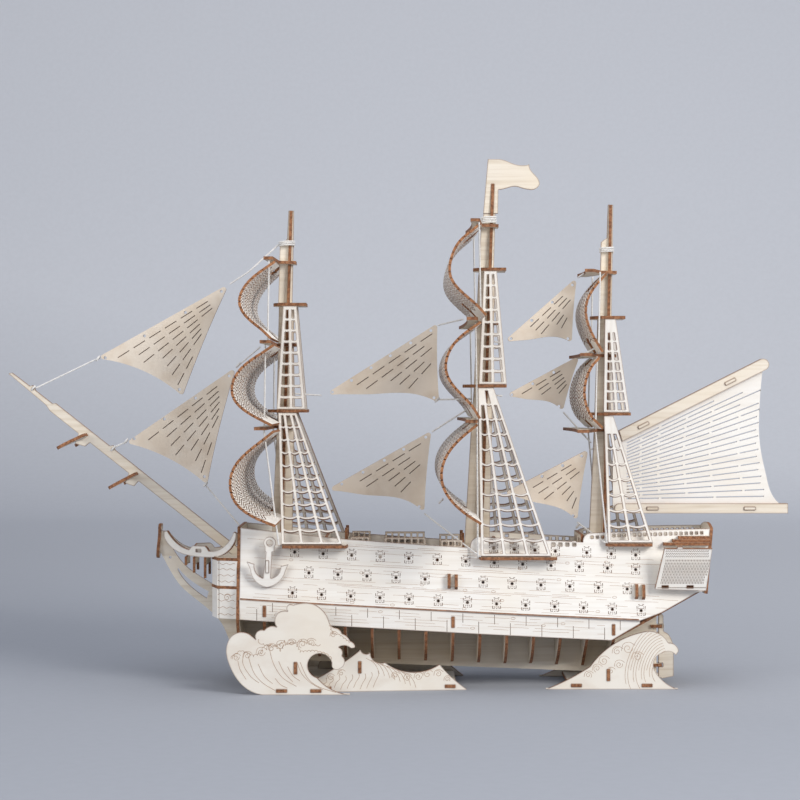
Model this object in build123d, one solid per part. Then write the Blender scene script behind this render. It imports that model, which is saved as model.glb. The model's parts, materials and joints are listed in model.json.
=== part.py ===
from build123d import *
"""Wooden jigsaw model of a three-masted ship of the line on a wave-shaped stand.

Every piece is flat or bent laser-cut plywood, slotted together, with cord rigging.
Frame: millimetres, +Z up, bow towards -X, port side towards -Y, origin on the table
under the middle of the whole model.
"""
import os
from math import atan, cos, exp, hypot, sin

# ---------------------------------------------------------------- driving sizes
PLY = 2.0                  # plywood sheet
SAIL_PLY = 1.8             # thinner sheet of the curved square sails
CORD = 1.2                 # rigging cord
SNUG = 0.15                # gap beside a bent panel
HOLE = 1.0                 # radius of an eyelet

# hull
FIRST_FRAME = -104.5       # bow bulkhead
FRAME_PITCH = 17.5
FRAME_COUNT = 15
WALE_Z = 50.0              # height at which the half breadths are given
TUMBLE = 0.20              # how far the sides lean in, per unit of height
HALF_BEAM = 43.0
BOW_INSET = 4.5            # narrowing at the bow bulkhead
FULL_FROM = -40.0          # the bow narrows ahead of this station
STERN_INSET = 13.0         # narrowing of the run aft
RUN_X, RUN_LENGTH = 120.0, 35.0
SIDE_AFT = 206.0
BAND_INSET = 1.0           # the lower band lies this much inside the side panel
LAP_Z = 38.0               # frames and keel are half-lapped at this height
KEEL_TOP = 60.0
MAIN_DECK, FORECASTLE, QUARTER_DECK, POOP_DECK = 86.0, 97.0, 92.0, 97.0   # top faces
QUARTER_FROM, POOP_FROM, FORECASTLE_TO = 66.0, 122.0, -48.0
STERNPOST = 172.8
RUDDER_AXIS = 174.6

# stand
OUTER_WAVE_Y, INNER_WAVE_Y, AFT_WAVE_Y = 54.0, 37.0, 30.0
INNER_WAVE_TURN = 6.0      # degrees, the inner waves close in towards the stern
BASE_Z = 1.6               # underside of the flat base plates
CROSS_X = (-66.0, -25.0, 137.4)
SLOT_GAP = 0.4             # play of the keel in the cradle notches, each side

os.makedirs("parts", exist_ok=True)
nodes = {}


# ---------------------------------------------------------------- small tools
def outline(start, *steps):
    """Closed face. A step is an end point, an arc (through, end), or a spline of 3+ points."""
    edges = []
    here = start
    for step in steps:
        if not isinstance(step[0], tuple):
            edges.append(Line(here, step))
            here = step
            continue
        if len(step) == 2:
            edges.append(ThreePointArc(here, *step))
        else:
            edges.append(Spline(here, *step))
        here = step[-1]
    if here != start:
        edges.append(Line(here, start))
    return make_face(edges)


def upright(face, y=0.0, thickness=PLY):
    """Plate in the XZ plane, centred on y."""
    return extrude(Plane.XZ.offset(-y) * face, amount=thickness / 2, both=True)


def cross(face, x, thickness=PLY):
    """Plate in the YZ plane, centred on x."""
    return extrude(Plane.YZ.offset(x) * face, amount=thickness / 2, both=True)


def level(face, bottom, thickness=PLY):
    """Plate in the XY plane, resting at height bottom."""
    return extrude(Plane.XY.offset(bottom) * face, amount=thickness, dir=(0, 0, 1))


def block(x0, x1, y0, y1, z0, z1):
    size = Box(x1 - x0, y1 - y0, z1 - z0)
    return Pos((x0 + x1) / 2, (y0 + y1) / 2, (z0 + z1) / 2) * size


def both_sides(shape):
    """The port piece and its mirror image."""
    return [shape, mirror(shape, about=Plane.XZ)]


def solids_of(*shapes):
    found = []
    for shape in shapes:
        found += shape.solids() if hasattr(shape, "solids") else solids_of(*shape)
    return found


def boxes_meet(first, second):
    """Whether two bounding boxes overlap."""
    a, b = first.bounding_box(), second.bounding_box()
    return all(low < high for low, high in (
        (a.min.X, b.max.X), (b.min.X, a.max.X), (a.min.Y, b.max.Y),
        (b.min.Y, a.max.Y), (a.min.Z, b.max.Z), (b.min.Z, a.max.Z)))


def cut(shape, *tools):
    """Shape minus tools, solid by solid, as a flat list of solids."""
    blades = solids_of(*tools)
    kept = []
    for solid in solids_of(shape):
        near = [blade for blade in blades if boxes_meet(solid, blade)]
        left = solid - near if near else solid
        kept += [piece for piece in left.solids() if piece.volume > 1.0]
    return kept


def mirrored(points):
    """Outline of a plate symmetrical about y = 0, from its +y half."""
    return Polygon(*points, *[(x, -y) for x, y in reversed(points)], align=None)


def put(name, *shapes):
    """Keep the solids of one node, each a separate piece."""
    nodes[name] = solids_of(*shapes)


# ---------------------------------------------------------------- hull lines
def half_breadth(x, z=WALE_Z):
    """Outer half breadth of the side panels."""
    half = HALF_BEAM - STERN_INSET / (1 + exp((RUN_X - x) / RUN_LENGTH))
    if x < FULL_FROM:
        half -= BOW_INSET * ((FULL_FROM - x) / (FULL_FROM - FIRST_FRAME)) ** 2
    return half - TUMBLE * (z - WALE_Z)


def wale_z(x):
    """The wale drops towards the stern."""
    return 59.4 - 0.0535 * (x - FIRST_FRAME)


def band_bottom_z(x):
    return 46.4 - 0.0576 * (x - FIRST_FRAME)


def keel_z(x):
    """Underside of the keel."""
    return 13.0 - 0.038 * (x + 9.0)


FRAMES = [FIRST_FRAME + FRAME_PITCH * i for i in range(FRAME_COUNT)]
SKIN_FROM = FIRST_FRAME + PLY / 2


def plan_band(z, x_from, x_to, inset=0.0, tumble=True):
    """Thin curved strip of the port side in plan, at height z."""
    steps = 14
    stations = [x_from + (x_to - x_from) * i / steps for i in range(steps + 1)]
    height = z if tumble else WALE_Z
    outer = [(x, inset - half_breadth(x, height)) for x in stations]
    inner = [(x, y + PLY) for x, y in outer]
    edges = [Spline(*outer), Line(outer[-1], inner[-1]), Spline(*inner), Line(inner[0], outer[0])]
    return Plane.XY.offset(z) * make_face(edges)


def port_holes(centres, radius):
    """Ten-sided holes across the ship, as one list of cutters."""
    drill = RegularPolygon(radius, 10)
    return [extrude(Plane.XZ * (Pos(x, z) * drill), amount=100, both=True) for x, z in centres]


FENDER_PORT = 5            # the fender takes the place of this port of the middle row


def rows_of_ports():
    """Gun ports follow the wale in four rows."""
    lowest = [-68.8 + 18.95 * i for i in range(13)]
    middle = [-58.2 + 18.9 * i for i in range(12) if i != FENDER_PORT]
    upper = [-67.6 + 18.6 * i for i in range(13)]
    aft = [62.3 + 13.5 * i for i in range(4)] + [123.5 + 16.2 * i for i in range(3)]
    rows = [(lowest, 6.4), (middle, 19.8), (upper, 32.6), (aft, 42.0)]
    return [(x, wale_z(x) + rise) for row, rise in rows for x in row]


def side_outline():
    """Side panel seen from abeam: raised quarterdeck and poop, cut-up stern."""
    return outline(
        (SKIN_FROM, wale_z(SKIN_FROM)), (158.0, wale_z(158.0)), (172.0, 50.4), (195.5, 63.0),
        (200.6, 64.0), (205.5, 104.4), (168.0, 103.8), (126.4, 101.8),
        ((123.0, 100.6), (121.2, 96.0)), (53.4, 99.8), ((48.8, 98.0), (47.2, 92.8)),
        (15.5, 94.8), (-33.4, 98.3), (SKIN_FROM, 105.5))


def side_windows():
    """Square lights under the rails."""
    poop = [(141.7 + 3.43 * i, 100.2 + 0.09 * i) for i in range(18)]
    corner = [(127.2 + 3.5 * i, 99.2) for i in range(3)]
    quarter = [(101.6 + 4.6 * i, 94.6) for i in range(4)]
    waist = [(60.6 + 13.6 * i, 96.6) for i in range(3)]
    lights = [(x, z, 1.9) for x, z in poop + corner]
    lights += [(x, z, 2.4) for x, z in quarter + waist]
    return [block(x - s / 2, x + s / 2, -60, 60, z - s / 2, z + s / 2) for x, z, s in lights]


def hull_sides():
    low, high = 40.0, 112.0
    skin = loft([plan_band(low, SKIN_FROM, SIDE_AFT), plan_band(high, SKIN_FROM, SIDE_AFT)],
                ruled=True)
    face = Plane.XZ * side_outline()
    panel = skin & extrude(face, amount=80, both=True)
    panel = panel - (port_holes(rows_of_ports(), 0.9) + side_windows())
    return both_sides(panel)


def lower_bands():
    """Vertical strip below the wale that hides the heads of the ribs."""
    strip = extrude(plan_band(25.0, SKIN_FROM, 160.0, BAND_INSET, tumble=False), amount=40)
    shape = outline((SKIN_FROM, band_bottom_z(SKIN_FROM)), (139.0, band_bottom_z(139.0)),
                    (158.0, 43.2), (158.0, wale_z(158.0)), (SKIN_FROM, wale_z(SKIN_FROM)))
    return both_sides(strip & extrude(Plane.XZ * shape, amount=80, both=True))


def frame_plate(x, top):
    """One rib: bilge curve below the band, flat sides above it."""
    foot = keel_z(x) + 4.0
    band_z = band_bottom_z(x) - SNUG
    band_out = half_breadth(x) - BAND_INSET
    band_in = band_out - PLY - SNUG
    side_in = half_breadth(x, wale_z(x)) - PLY - 2 * SNUG
    top_in = half_breadth(x, top) - PLY - 2 * SNUG
    fine = min(max((x - 70.0) / 70.0, 0.0), 1.0)
    bilge = (band_out * (0.72 - 0.27 * fine), foot + (band_z - foot) * (0.36 + 0.14 * fine))
    half = outline((0, foot), (3.0, foot), (bilge, (band_out, band_z)), (band_in, band_z),
                   (band_in, wale_z(x)), (side_in, wale_z(x)), (top_in, top), (0, top))
    plate = cross(half + mirror(half, about=Plane.YZ), x)
    return plate - block(x - 5, x + 5, -PLY / 2, PLY / 2, 0, LAP_Z)


def bow_bulkhead():
    x = FIRST_FRAME
    foot = keel_z(x) + 4.0
    out, top_out = half_breadth(x), half_breadth(x, 106.0)
    bilge = (out * 0.72, foot + 11.0)
    half = outline((0, foot), (3.0, foot), (bilge, (out, band_bottom_z(x))), (out, WALE_Z),
                   (top_out, 106.0), (0, 106.0))
    plate = cross(half + mirror(half, about=Plane.YZ), x)
    return plate - block(x - 5, x + 5, -PLY / 2, PLY / 2, 0, LAP_Z)


def deck_top(x):
    if x < QUARTER_FROM:
        return MAIN_DECK - PLY
    return QUARTER_DECK - PLY if x < POOP_FROM else POOP_DECK - PLY


def hull_frames():
    """Ribs, with through tabs in the lower band at three of them."""
    ribs = []
    for i, x in enumerate(FRAMES[1:], start=1):
        rib = frame_plate(x, deck_top(x))
        if i in (1, 8, 14):
            z = (wale_z(x) + band_bottom_z(x)) / 2
            reach = half_breadth(x) - BAND_INSET + 0.5
            tab = block(x - PLY / 2, x + PLY / 2, 10, reach, z - 3.5, z + 3.5)
            rib = rib + both_sides(tab)
        ribs.append(rib)
    return ribs


def keel():
    """Backbone with the curved stem; the head slot and eye are in the stem."""
    body = outline(
        (-158.4, 102.0), (-159.5, 88.0),
        ((-153.7, 77.0), (-145.0, 64.2), (-134.9, 55.6), (-125.5, 47.9), (-118.6, 40.3),
         (-113.5, 29.2), (-107.0, keel_z(-107.0))),
        (STERNPOST, keel_z(STERNPOST)), (STERNPOST, KEEL_TOP), (-121.0, KEEL_TOP),
        (-121.0, 64.0), ((-125.7, 66.8), (-133.8, 71.9), (-142.4, 78.3), (-148.4, 85.6),
                         (-153.9, 95.0), (-156.2, 101.0)))
    slit = outline((-147.2, 76.8), ((-142.4, 71.5), (-134.0, 65.2), (-127.0, 61.2)),
                   (-128.2, 56.4), ((-133.8, 60.2), (-142.4, 67.8), (-148.0, 76.2)))
    plate = upright(body - [slit, Pos(-152.7, 84.0) * Circle(0.9)])
    notches = [block(x - PLY / 2, x + PLY / 2, -5, 5, LAP_Z, 90) for x in FRAMES]
    return plate - notches


def deck(x_from, x_to, top, gap=SNUG):
    """Deck plate between the side panels."""
    steps = 10
    stations = [x_from + (x_to - x_from) * i / steps for i in range(steps + 1)]
    edge = [(x, half_breadth(x, top) - PLY - gap) for x in stations]
    far = [(x, -y) for x, y in reversed(edge)]
    face = make_face([Spline(*edge), Line(edge[-1], far[0]), Spline(*far), Line(far[-1], edge[0])])
    return level(face, top - PLY)


def counter():
    """Sloping board that closes the hull under the stern cabin."""
    start, end = (141.7, 32.6), (199.0, 63.4)
    run = hypot(end[0] - start[0], end[1] - start[1])
    slope = (end[0] - start[0]) / run, (end[1] - start[1]) / run
    plane = Plane(origin=(start[0], 0, start[1]), x_dir=(slope[0], 0, slope[1]),
                  z_dir=(-slope[1], 0, slope[0]))
    stations = [(share * run, start[0] + share * (end[0] - start[0]), start[1] + share
                 * (end[1] - start[1]) + PLY) for share in (0.0, 0.34, 0.67, 1.0)]
    edge = [(s, half_breadth(x, max(z, WALE_Z)) - BAND_INSET - PLY - 1.2) for s, x, z in stations]
    return extrude(plane * mirrored(edge), amount=PLY, dir=(-slope[1], 0, slope[0]))


# ---------------------------------------------------------------- bow
BOW_LEVELS = (48.6, 65.6, 84.0)
BOW_PLAN = [(FIRST_FRAME - PLY / 2, 33.0), (-118.6, 28.0), (-123.8, 13.0)]


def bow_decks():
    """Three small platforms ahead of the bow bulkhead; the lowest sits inside the panels."""
    floor = [(x + 1.2, y - 2.4) for x, y in BOW_PLAN]
    floor[0] = (BOW_PLAN[0][0], floor[0][1])
    return [level(mirrored(plan), z) for plan, z in zip((floor, BOW_PLAN, BOW_PLAN), BOW_LEVELS)]


def bow_panels():
    """Upright panels between the bow platforms, two facets each side."""
    panels = []
    for low, high in zip(BOW_LEVELS, BOW_LEVELS[1:]):
        bottom = low - 2.4 if low == BOW_LEVELS[0] else low + PLY
        top = high
        for (xa, ya), (xb, yb) in zip(BOW_PLAN[:2], BOW_PLAN[1:3]):
            run = hypot(xb - xa, yb - ya)
            along = ((xb - xa) / run, (yb - ya) / run)
            inward = (-along[1] * PLY, along[0] * PLY)
            ends = [(xa + along[0] * 0.2, ya + along[1] * 0.2),
                    (xb - along[0] * 1.6, yb - along[1] * 1.6)]
            wall = Polygon(*ends, *[(x + inward[0], y + inward[1]) for x, y in reversed(ends)],
                           align=None)
            panels += both_sides(level(wall, bottom, top - bottom))
    return panels


def head_rails():
    """Crescent rails from the bulkhead to the stem, closing in towards the stem."""
    crescent = outline(
        (-58.0, 101.4), (-57.6, 97.0), ((-52.4, 91.2), (-43.6, 87.0), (-35.0, 85.6), (-23.6, 85.2),
                                        (-13.2, 86.6), (-5.4, 91.6), (-0.8, 101.8)),
        (-2.8, 102.7), ((-6.2, 96.8), (-13.0, 91.2), (-22.4, 89.4)), (-24.0, 91.6),
        (-25.4, 92.6), (-35.0, 92.6), (-36.4, 91.2), (-37.6, 89.8),
        ((-44.6, 92.0), (-51.0, 96.6), (-55.4, 101.8)))
    crescent = crescent - Pos(-30.4, 89.4) * Rectangle(4.2, 1.8)
    plane = Plane(origin=(-105.6, -28.0, 0), x_dir=(0.887, -0.462, 0), z_dir=(-0.462, -0.887, 0))
    return both_sides(extrude(plane * crescent, amount=PLY, dir=(0.462, 0.887, 0)))


def beakhead_frames():
    """Three small cross frames that stand on the stem and carry the head rails."""
    plates = []
    for x, foot, half in ((-141.3, 79.4, 10.0), (-135.5, 74.7, 13.0), (-127.9, 71.4, 16.4)):
        arch = Polygon((-half, foot), (-half, 85.0), (half, 85.0), (half, foot), (half - 1.8, foot),
                       (half - 2.2, 80.0), (2.2 - half, 80.0), (1.8 - half, foot), align=None)
        plates.append(cross(arch, x, 1.6))
    return plates


def figurehead():
    """Plain scroll-topped board across the head of the stem."""
    half = outline((0, 83.5), (2.6, 84.5), ((4.2, 92.0), (2.8, 98.0), (4.4, 103.0)),
                   ((2.6, 106.6), (0, 105.0)))
    board = cross(half + mirror(half, about=Plane.YZ), 0)
    return Pos(-160.1, 0, 94.0) * Rot(0, 4.5, 0) * Pos(0, 0, -94.0) * board


# ---------------------------------------------------------------- stern
TRANSOM_LEAN = 5.1 / 43.0


def transom():
    """Stern board, leaning aft, with two rows of lights and a rounded crown."""
    low, high = 62.5, 105.0
    half_low, half_high = 28.6, 20.4
    face = outline((-half_low, 0), (-half_high, high - low - 2.0), ((-half_high + 1.2, high - low),
                   (-half_high + 4.0, high - low + 0.8)), ((0, high - low + 3.0),
                   (half_high - 4.0, high - low + 0.8)), ((half_high - 1.2, high - low),
                   (half_high, high - low - 2.0)), (half_low, 0))
    lights = [Pos(-17.5 + 7 * i, z) * Rectangle(4.4, 6.4) for i in range(6) for z in (9.0, 21.0)]
    lights += [Pos(-10 + 5 * i, 34.0) * Rectangle(3.0, 4.4) for i in range(5)]
    lean = atan(TRANSOM_LEAN)
    plane = Plane(origin=(200.7, 0, low), x_dir=(0, 1, 0), z_dir=(cos(lean), 0, -sin(lean)))
    return extrude(plane * (face - lights), amount=PLY)


GALLERY_Y = 34.0


def galleries():
    """Quarter galleries: an outer panel each side, leaning in like the hull side."""
    panel = outline((167.2, 1.0), (172.7, 28.4), (181.0, 28.4), (181.0, 29.4), (184.6, 29.4),
                    (184.6, 28.4), (203.8, 28.4), (200.6, 0.0))
    slots = [Pos(x, 2.6) * Rectangle(4.4, PLY) for x in (173.8, 190.0)]
    lean = atan(TUMBLE)
    plane = Plane(origin=(0, -GALLERY_Y, 65.4), x_dir=(1, 0, 0), z_dir=(0, -cos(lean), -sin(lean)))
    return both_sides(extrude(plane * (panel - slots), amount=PLY))


def gallery_floors():
    """Floor and three stepped roof boards of each gallery."""
    boards = []
    for x_from, x_to, low, out in ((169.0, 200.6, 67.0, 33.2), (174.0, 204.2, 93.9, 28.8),
                                   (180.0, 204.6, 95.9, 27.4), (184.0, 205.0, 97.9, 26.0)):
        hull = [(x, -half_breadth(x, low) - SNUG) for x in (x_to, (x_from + x_to) / 2, x_from)]
        face = make_face([Polyline((x_from, hull[-1][1]), (x_from, -out), (x_to, -out), hull[0]),
                          Spline(*hull)])
        boards += both_sides(level(face, low))
    return boards


def rudder():
    """Rudder blade with notches for the gudgeons."""
    front = RUDDER_AXIS - 0.4
    blade = outline((front, 4.0), (176.6, 2.8), (184.3, 4.4), (184.3, 19.8),
                    ((183.4, 27.5), (180.8, 32.5)), (177.6, 34.5), (177.4, 44.0),
                    ((176.2, 46.0), (front, 44.6)))
    plate = upright(blade)
    for z in GUDGEONS:
        plate = plate - block(170, RUDDER_AXIS + 2.6, -5, 5, z - 1.3, z + 1.3)
        plate = plate - Pos(RUDDER_AXIS + 0.5, 0, z) * Cylinder(0.4, 12)
    return plate


GUDGEONS = (12.0, 38.0)


def rudder_pins():
    return [Pos(RUDDER_AXIS + 0.5, 0, z) * Cylinder(0.4, 12) for z in GUDGEONS]


def rudder_gudgeons():
    """Small eye plates slotted on the sternpost; the rudder pins turn in them."""
    eyes = []
    for z in GUDGEONS:
        plate = mirrored([(STERNPOST - 4.0, 3.0), (STERNPOST + 0.8, 3.0), (RUDDER_AXIS + 1.9, 1.2)])
        eyes.append(level(plate - Pos(RUDDER_AXIS + 0.5, 0) * Circle(0.46), z - PLY / 2))
    return eyes


# ---------------------------------------------------------------- hull fittings
def fenders():
    """Pairs of short upright ledges on each side."""
    ledges = []
    for x, z in ((33.0, 66.6), (37.6, 66.2), (155.6, 59.2), (160.2, 58.8)):
        inner = half_breadth(x, z) + SNUG
        face = outline((-inner, z), (-inner - 3.6, z + 2.0), (-inner - 2.4, z + 9.6),
                       (-inner + TUMBLE * 9.6, z + 9.6))
        ledges += both_sides(cross(face, x))
    return ledges


def anchors():
    """Flat anchors hung on the bow, each with its peg."""
    arms = outline((-98.4, 84.2), (-96.2, 79.0), ((-93.0, 71.6), (-85.5, 67.6)),
                   ((-77.4, 71.2), (-73.6, 77.4)), (-71.6, 82.4), (-76.4, 81.2),
                   ((-79.4, 74.8), (-83.0, 73.4)), (-82.0, 93.0), (-85.6, 93.0), (-87.8, 73.4),
                   ((-91.8, 76.0), (-93.6, 82.6)))
    ring = Pos(-83.6, 96.4) * (Circle(4.0) - Circle(2.0))
    stock = outline((-86.6, 93.6), (-80.6, 93.6), (-80.6, 90.8), (-86.6, 90.8))
    peg_slot = Pos(-85.2, 81.0) * Rectangle(PLY, 8.0)
    anchor = upright((arms + ring + stock) - peg_slot, ANCHOR_Y)
    return both_sides(anchor)


ANCHOR_Y = -38.8


def anchor_pegs():
    reach = ANCHOR_Y - PLY / 2 - 0.5
    inner = half_breadth(-85.2, 77.0) + SNUG
    return both_sides(block(-86.2, -84.2, reach, -inner, 77.0, 85.0))


CHANNELS = {"fore": (-76.0, -32.8, 93.2, 45.0), "main": (52.6, 103.9, 85.4, 42.5),
            "mizzen": (136.0, 167.2, 93.5, 32.0)}


def channel(x_from, x_to, low, out):
    """Horizontal board on the hull side that spreads the shrouds."""
    stations = [x_to, (2 * x_to + x_from) / 3, (x_to + 2 * x_from) / 3, x_from]
    hull = [(x, -half_breadth(x, low) - SNUG) for x in stations]
    face = make_face([Polyline(hull[-1], (x_from + 1.0, -out), (x_to - 1.0, -out), hull[0]),
                      Spline(*hull)])
    return both_sides(level(face, low))


# ---------------------------------------------------------------- masts
class Mast:
    """A raked mast of two crossed boards. Widths are given ahead of and behind the axis."""

    def __init__(self, x, rake, boards, half_widths, top, tops, heel):
        self.x, self.rake, self.top, self.tops, self.heel = x, rake, top, tops, heel
        self.boards, self.half_widths = boards, half_widths

    def axis(self, z):
        return self.x + self.rake * (z - 150.0)

    def fore_and_aft(self):
        left = [(self.axis(z) - ahead, z) for z, ahead, behind in self.boards]
        right = [(self.axis(z) + behind, z) for z, ahead, behind in reversed(self.boards)]
        return upright(Polygon(*left, *right, align=None))

    def athwart(self):
        lean = atan(self.rake)
        plane = Plane(origin=(self.x, 0, 150.0), x_dir=(0, 1, 0),
                      z_dir=(cos(lean), 0, -sin(lean)))
        side = [(half, (z - 150.0) / cos(lean)) for z, half in self.half_widths]
        far = [(-y, z) for y, z in reversed(side)]
        return extrude(plane * Polygon(*side, *far, align=None), amount=PLY / 2, both=True)

    def pair(self):
        """Both boards with their half-lap slots cut at mid height."""
        middle = (self.heel + self.top) / 2
        first, second = self.fore_and_aft(), self.athwart()
        below = block(-300, 300, -50, 50, 0, middle)
        above = block(-300, 300, -50, 50, middle, 400)
        return cut(first, second & below), cut(second, first & above)


FORE = Mast(-76.4, 0.028,
            [(84, 7.0, 7.0), (179, 5.4, 6.0), (181, 6.0, 5.0), (251, 6.4, 3.6), (254, 6.9, 2.4),
             (294, 6.9, 2.1), (297, 2.2, 2.0), (316, 1.8, 1.8)],
            [(84, 7.0), (180, 5.6), (252, 4.2), (294, 3.0), (316, 1.4)], 316.0,
            ((251.9, -83.7, -61.3), (181.0, -87.5, -60.4)), 84.0)
MAIN = Mast(57.0, 0.034,
            [(84, 11.0, 6.0), (170, 9.0, 5.0), (197, 8.0, 4.6), (272, 7.6, 3.6), (276, 7.0, 2.6),
             (306, 7.0, 2.4), (314, 5.4, 2.4)],
            [(84, 7.4), (197, 5.8), (275, 4.4), (306, 3.0), (334, 1.4)], 314.0,
            ((275.3, 50.0, 71.7), (197.6, 43.0, 71.8)), 84.0)
MIZZEN = Mast(138.4, 0.022,
              [(95, 9.6, 2.0), (158, 8.0, 2.0), (180, 7.6, 2.4), (243, 7.0, 2.4), (246, 5.8, 2.2),
               (295, 5.8, 2.0), (298, 2.0, 1.9), (320, 1.7, 1.7)],
              [(95, 6.0), (180, 5.0), (244, 3.8), (294, 2.8), (320, 1.3)], 320.0,
              ((243.2, 128.3, 150.9), (179.0, 126.6, 154.1)), 95.0)
MASTS = {"fore": FORE, "main": MAIN, "mizzen": MIZZEN}


def top_plate(low, x_from, x_to, half):
    """Mast-top platform: rounded ahead, square behind."""
    face = outline((x_from + half * 0.7, -half), ((x_from, 0), (x_from + half * 0.7, half)),
                   (x_to, half), (x_to, -half))
    return level(face, low)


def main_flag():
    """Waving flag on its staff, cut in one piece and slotted on the main mast head."""
    cloth = outline(
        (60.0, 350.6), (65.5, 350.6),
        ((72.0, 349.5), (78.5, 347.0), (84.0, 346.4), (87.6, 347.0)),
        ((89.6, 342.0), (93.0, 338.2), (94.6, 333.6)), ((92.6, 331.2), (87.4, 330.4)),
        ((83.0, 331.2), (78.4, 332.4), (73.0, 331.4), (67.0, 330.2)), (66.6, 314.2), (56.9, 314.2))
    return cut(upright(cloth), MAIN.athwart())


def ladder(bottom, top, y_z_bottom, y_z_top, columns, rungs, bar, rung, sag):
    """Shroud panel cut from sheet: leaning side bars with curved rungs between them."""
    rise = (y_z_top[0] - y_z_bottom[0], y_z_top[1] - y_z_bottom[1])
    length = hypot(*rise)
    up = (0, rise[0] / length, rise[1] / length)
    plane = Plane(origin=(0, *y_z_bottom), x_dir=(1, 0, 0), z_dir=(0, -up[2], up[1]))

    def bar_x(column, s):
        share = column / columns
        low = bottom[0] + (bottom[1] - bottom[0]) * share
        high = top[0] + (top[1] - top[0]) * share
        return low + (high - low) * s / length

    frame = Polygon((bottom[0], 0), (bottom[1], 0), (top[1], length), (top[0], length), align=None)
    windows = []
    pitch = (length - 2.0) / rungs
    for row in range(rungs):
        low, high = 1.6 + row * pitch, 1.6 + (row + 1) * pitch - rung
        for column in range(columns):
            left = bar if column == 0 else bar / 2
            right = bar if column == columns - 1 else bar / 2
            xa, xb = bar_x(column, low) + left, bar_x(column + 1, low) - right
            xc, xd = bar_x(column, high) + left, bar_x(column + 1, high) - right
            if min(xb - xa, xd - xc) < 1.0:
                continue
            dip = min(sag, 0.22 * (xb - xa))
            hang = min(sag, 0.22 * (xd - xc))
            floor = Line((xa, low), (xb, low))
            if row:
                floor = ThreePointArc((xa, low), ((xa + xb) / 2, low - dip), (xb, low))
            roof = ThreePointArc((xd, high), ((xc + xd) / 2, high - hang), (xc, high))
            windows.append(make_face([floor, Line((xb, low), (xd, high)), roof,
                                      Line((xc, high), (xa, low))]))
    return both_sides(extrude(plane * (frame - windows), amount=PLY / 2, both=True))


# ---------------------------------------------------------------- yards and square sails
def yard(mast, low, front, half, chord, reach):
    """Wing-shaped yard board with a collar around the mast. front is its leading edge."""
    axis = mast.axis(low)
    back = axis + reach
    wing = mirrored([(front, half), (front + chord, half), (axis - 6.5, 9.0), (back, 6.0)])
    nose = outline((front, -half), ((front + 2.2, 0), (front, half)), (front - 0.1, half),
                   (front - 0.1, -half))
    return cut(level(wing - nose, low), mast.fore_and_aft(), mast.athwart())


YARDS = {
    "fore": (FORE, [(280.0, -87.0, 48.0, 6.0, 4.4), (225.0, -87.2, 80.0, 7.0, 6.5),
                    (170.4, -90.0, 90.0, 7.5, 7.5)]),
    "main": (MAIN, [(304.6, 46.6, 48.0, 6.0, 4.6), (239.6, 43.0, 80.0, 7.0, 6.5),
                    (175.0, 42.0, 90.0, 7.5, 7.5)]),
    "mizzen": (MIZZEN, [(273.4, 122.4, 27.0, 6.0, 4.6), (217.8, 118.0, 42.0, 6.5, 5.5),
                        (168.2, 115.0, 56.0, 7.0, 5.5)]),
}


def square_sail(profile, half_top, half_bottom, mast):
    """Bellied sail: a curved sheet, narrower at its head, notched for the mast."""
    line = Spline(*profile)
    normal_offset = SAIL_PLY
    high, low = profile[0][1], profile[-1][1]
    inner = [(x + normal_offset, z) for x, z in profile]
    inner[0] = (profile[0][0] + normal_offset, high)
    inner[-1] = (profile[-1][0] + normal_offset, low)
    sheet = make_face([line, Line(profile[-1], inner[-1]), Spline(*reversed(inner)),
                       Line(inner[0], profile[0])])
    reach = max(half_top, half_bottom) + 5
    solid = extrude(Plane.XZ * sheet, amount=reach, both=True)
    swell = half_top + (half_bottom - half_top) * 0.72
    middle = (high + low) / 2
    shape = outline((-half_top, high + 1), ((-swell, middle), (-half_bottom, low - 1)),
                    (half_bottom, low - 1), ((swell, middle), (half_top, high + 1)))
    return cut(solid & extrude(Plane.YZ * shape, amount=400, both=True),
               mast.fore_and_aft(), mast.athwart())


SQUARE_SAILS = {
    "fore_topgallant_sail": ([(-80.0, 279.8), (-87.2, 274.0), (-96.6, 264.8), (-101.3, 254.0),
                              (-100.0, 246.4), (-94.0, 239.0), (-80.4, 227.2)], 42, 84, FORE),
    "fore_topsail": ([(-79.0, 224.8), (-88.0, 218.4), (-98.0, 210.8), (-103.6, 202.2),
                      (-104.6, 194.0), (-101.0, 186.6), (-92.0, 179.4), (-79.0, 172.6)],
                     76, 94, FORE),
    "fore_course": ([(-78.8, 170.2), (-88.0, 162.8), (-97.0, 155.2), (-103.6, 146.0),
                     (-105.2, 136.4), (-101.8, 125.6), (-92.0, 117.2), (-76.0, 110.4)],
                    84, 100, FORE),
    "main_topgallant_sail": ([(54.0, 304.4), (45.0, 297.6), (36.6, 288.6), (32.2, 276.6),
                              (32.2, 267.0), (38.4, 257.7), (54.5, 241.8)], 42, 84, MAIN),
    "main_topsail": ([(52.0, 239.4), (41.4, 232.0), (33.4, 223.8), (29.2, 214.0),
                      (29.8, 204.4), (35.8, 195.2), (50.0, 177.2)], 76, 94, MAIN),
    "main_course": ([(49.4, 174.8), (38.6, 166.0), (30.4, 156.6), (26.2, 145.4),
                     (27.6, 134.0), (34.4, 124.0), (51.4, 111.6)], 84, 100, MAIN),
    "mizzen_topgallant_sail": ([(136.6, 273.2), (128.8, 264.8), (123.0, 255.0), (121.6, 246.0),
                                (123.6, 236.6), (132.4, 220.0)], 22, 38, MIZZEN),
    "mizzen_topsail": ([(130.4, 217.6), (123.2, 209.0), (119.6, 199.0), (119.2, 190.0),
                        (122.4, 180.0), (131.0, 170.4)], 38, 56, MIZZEN),
}


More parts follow.
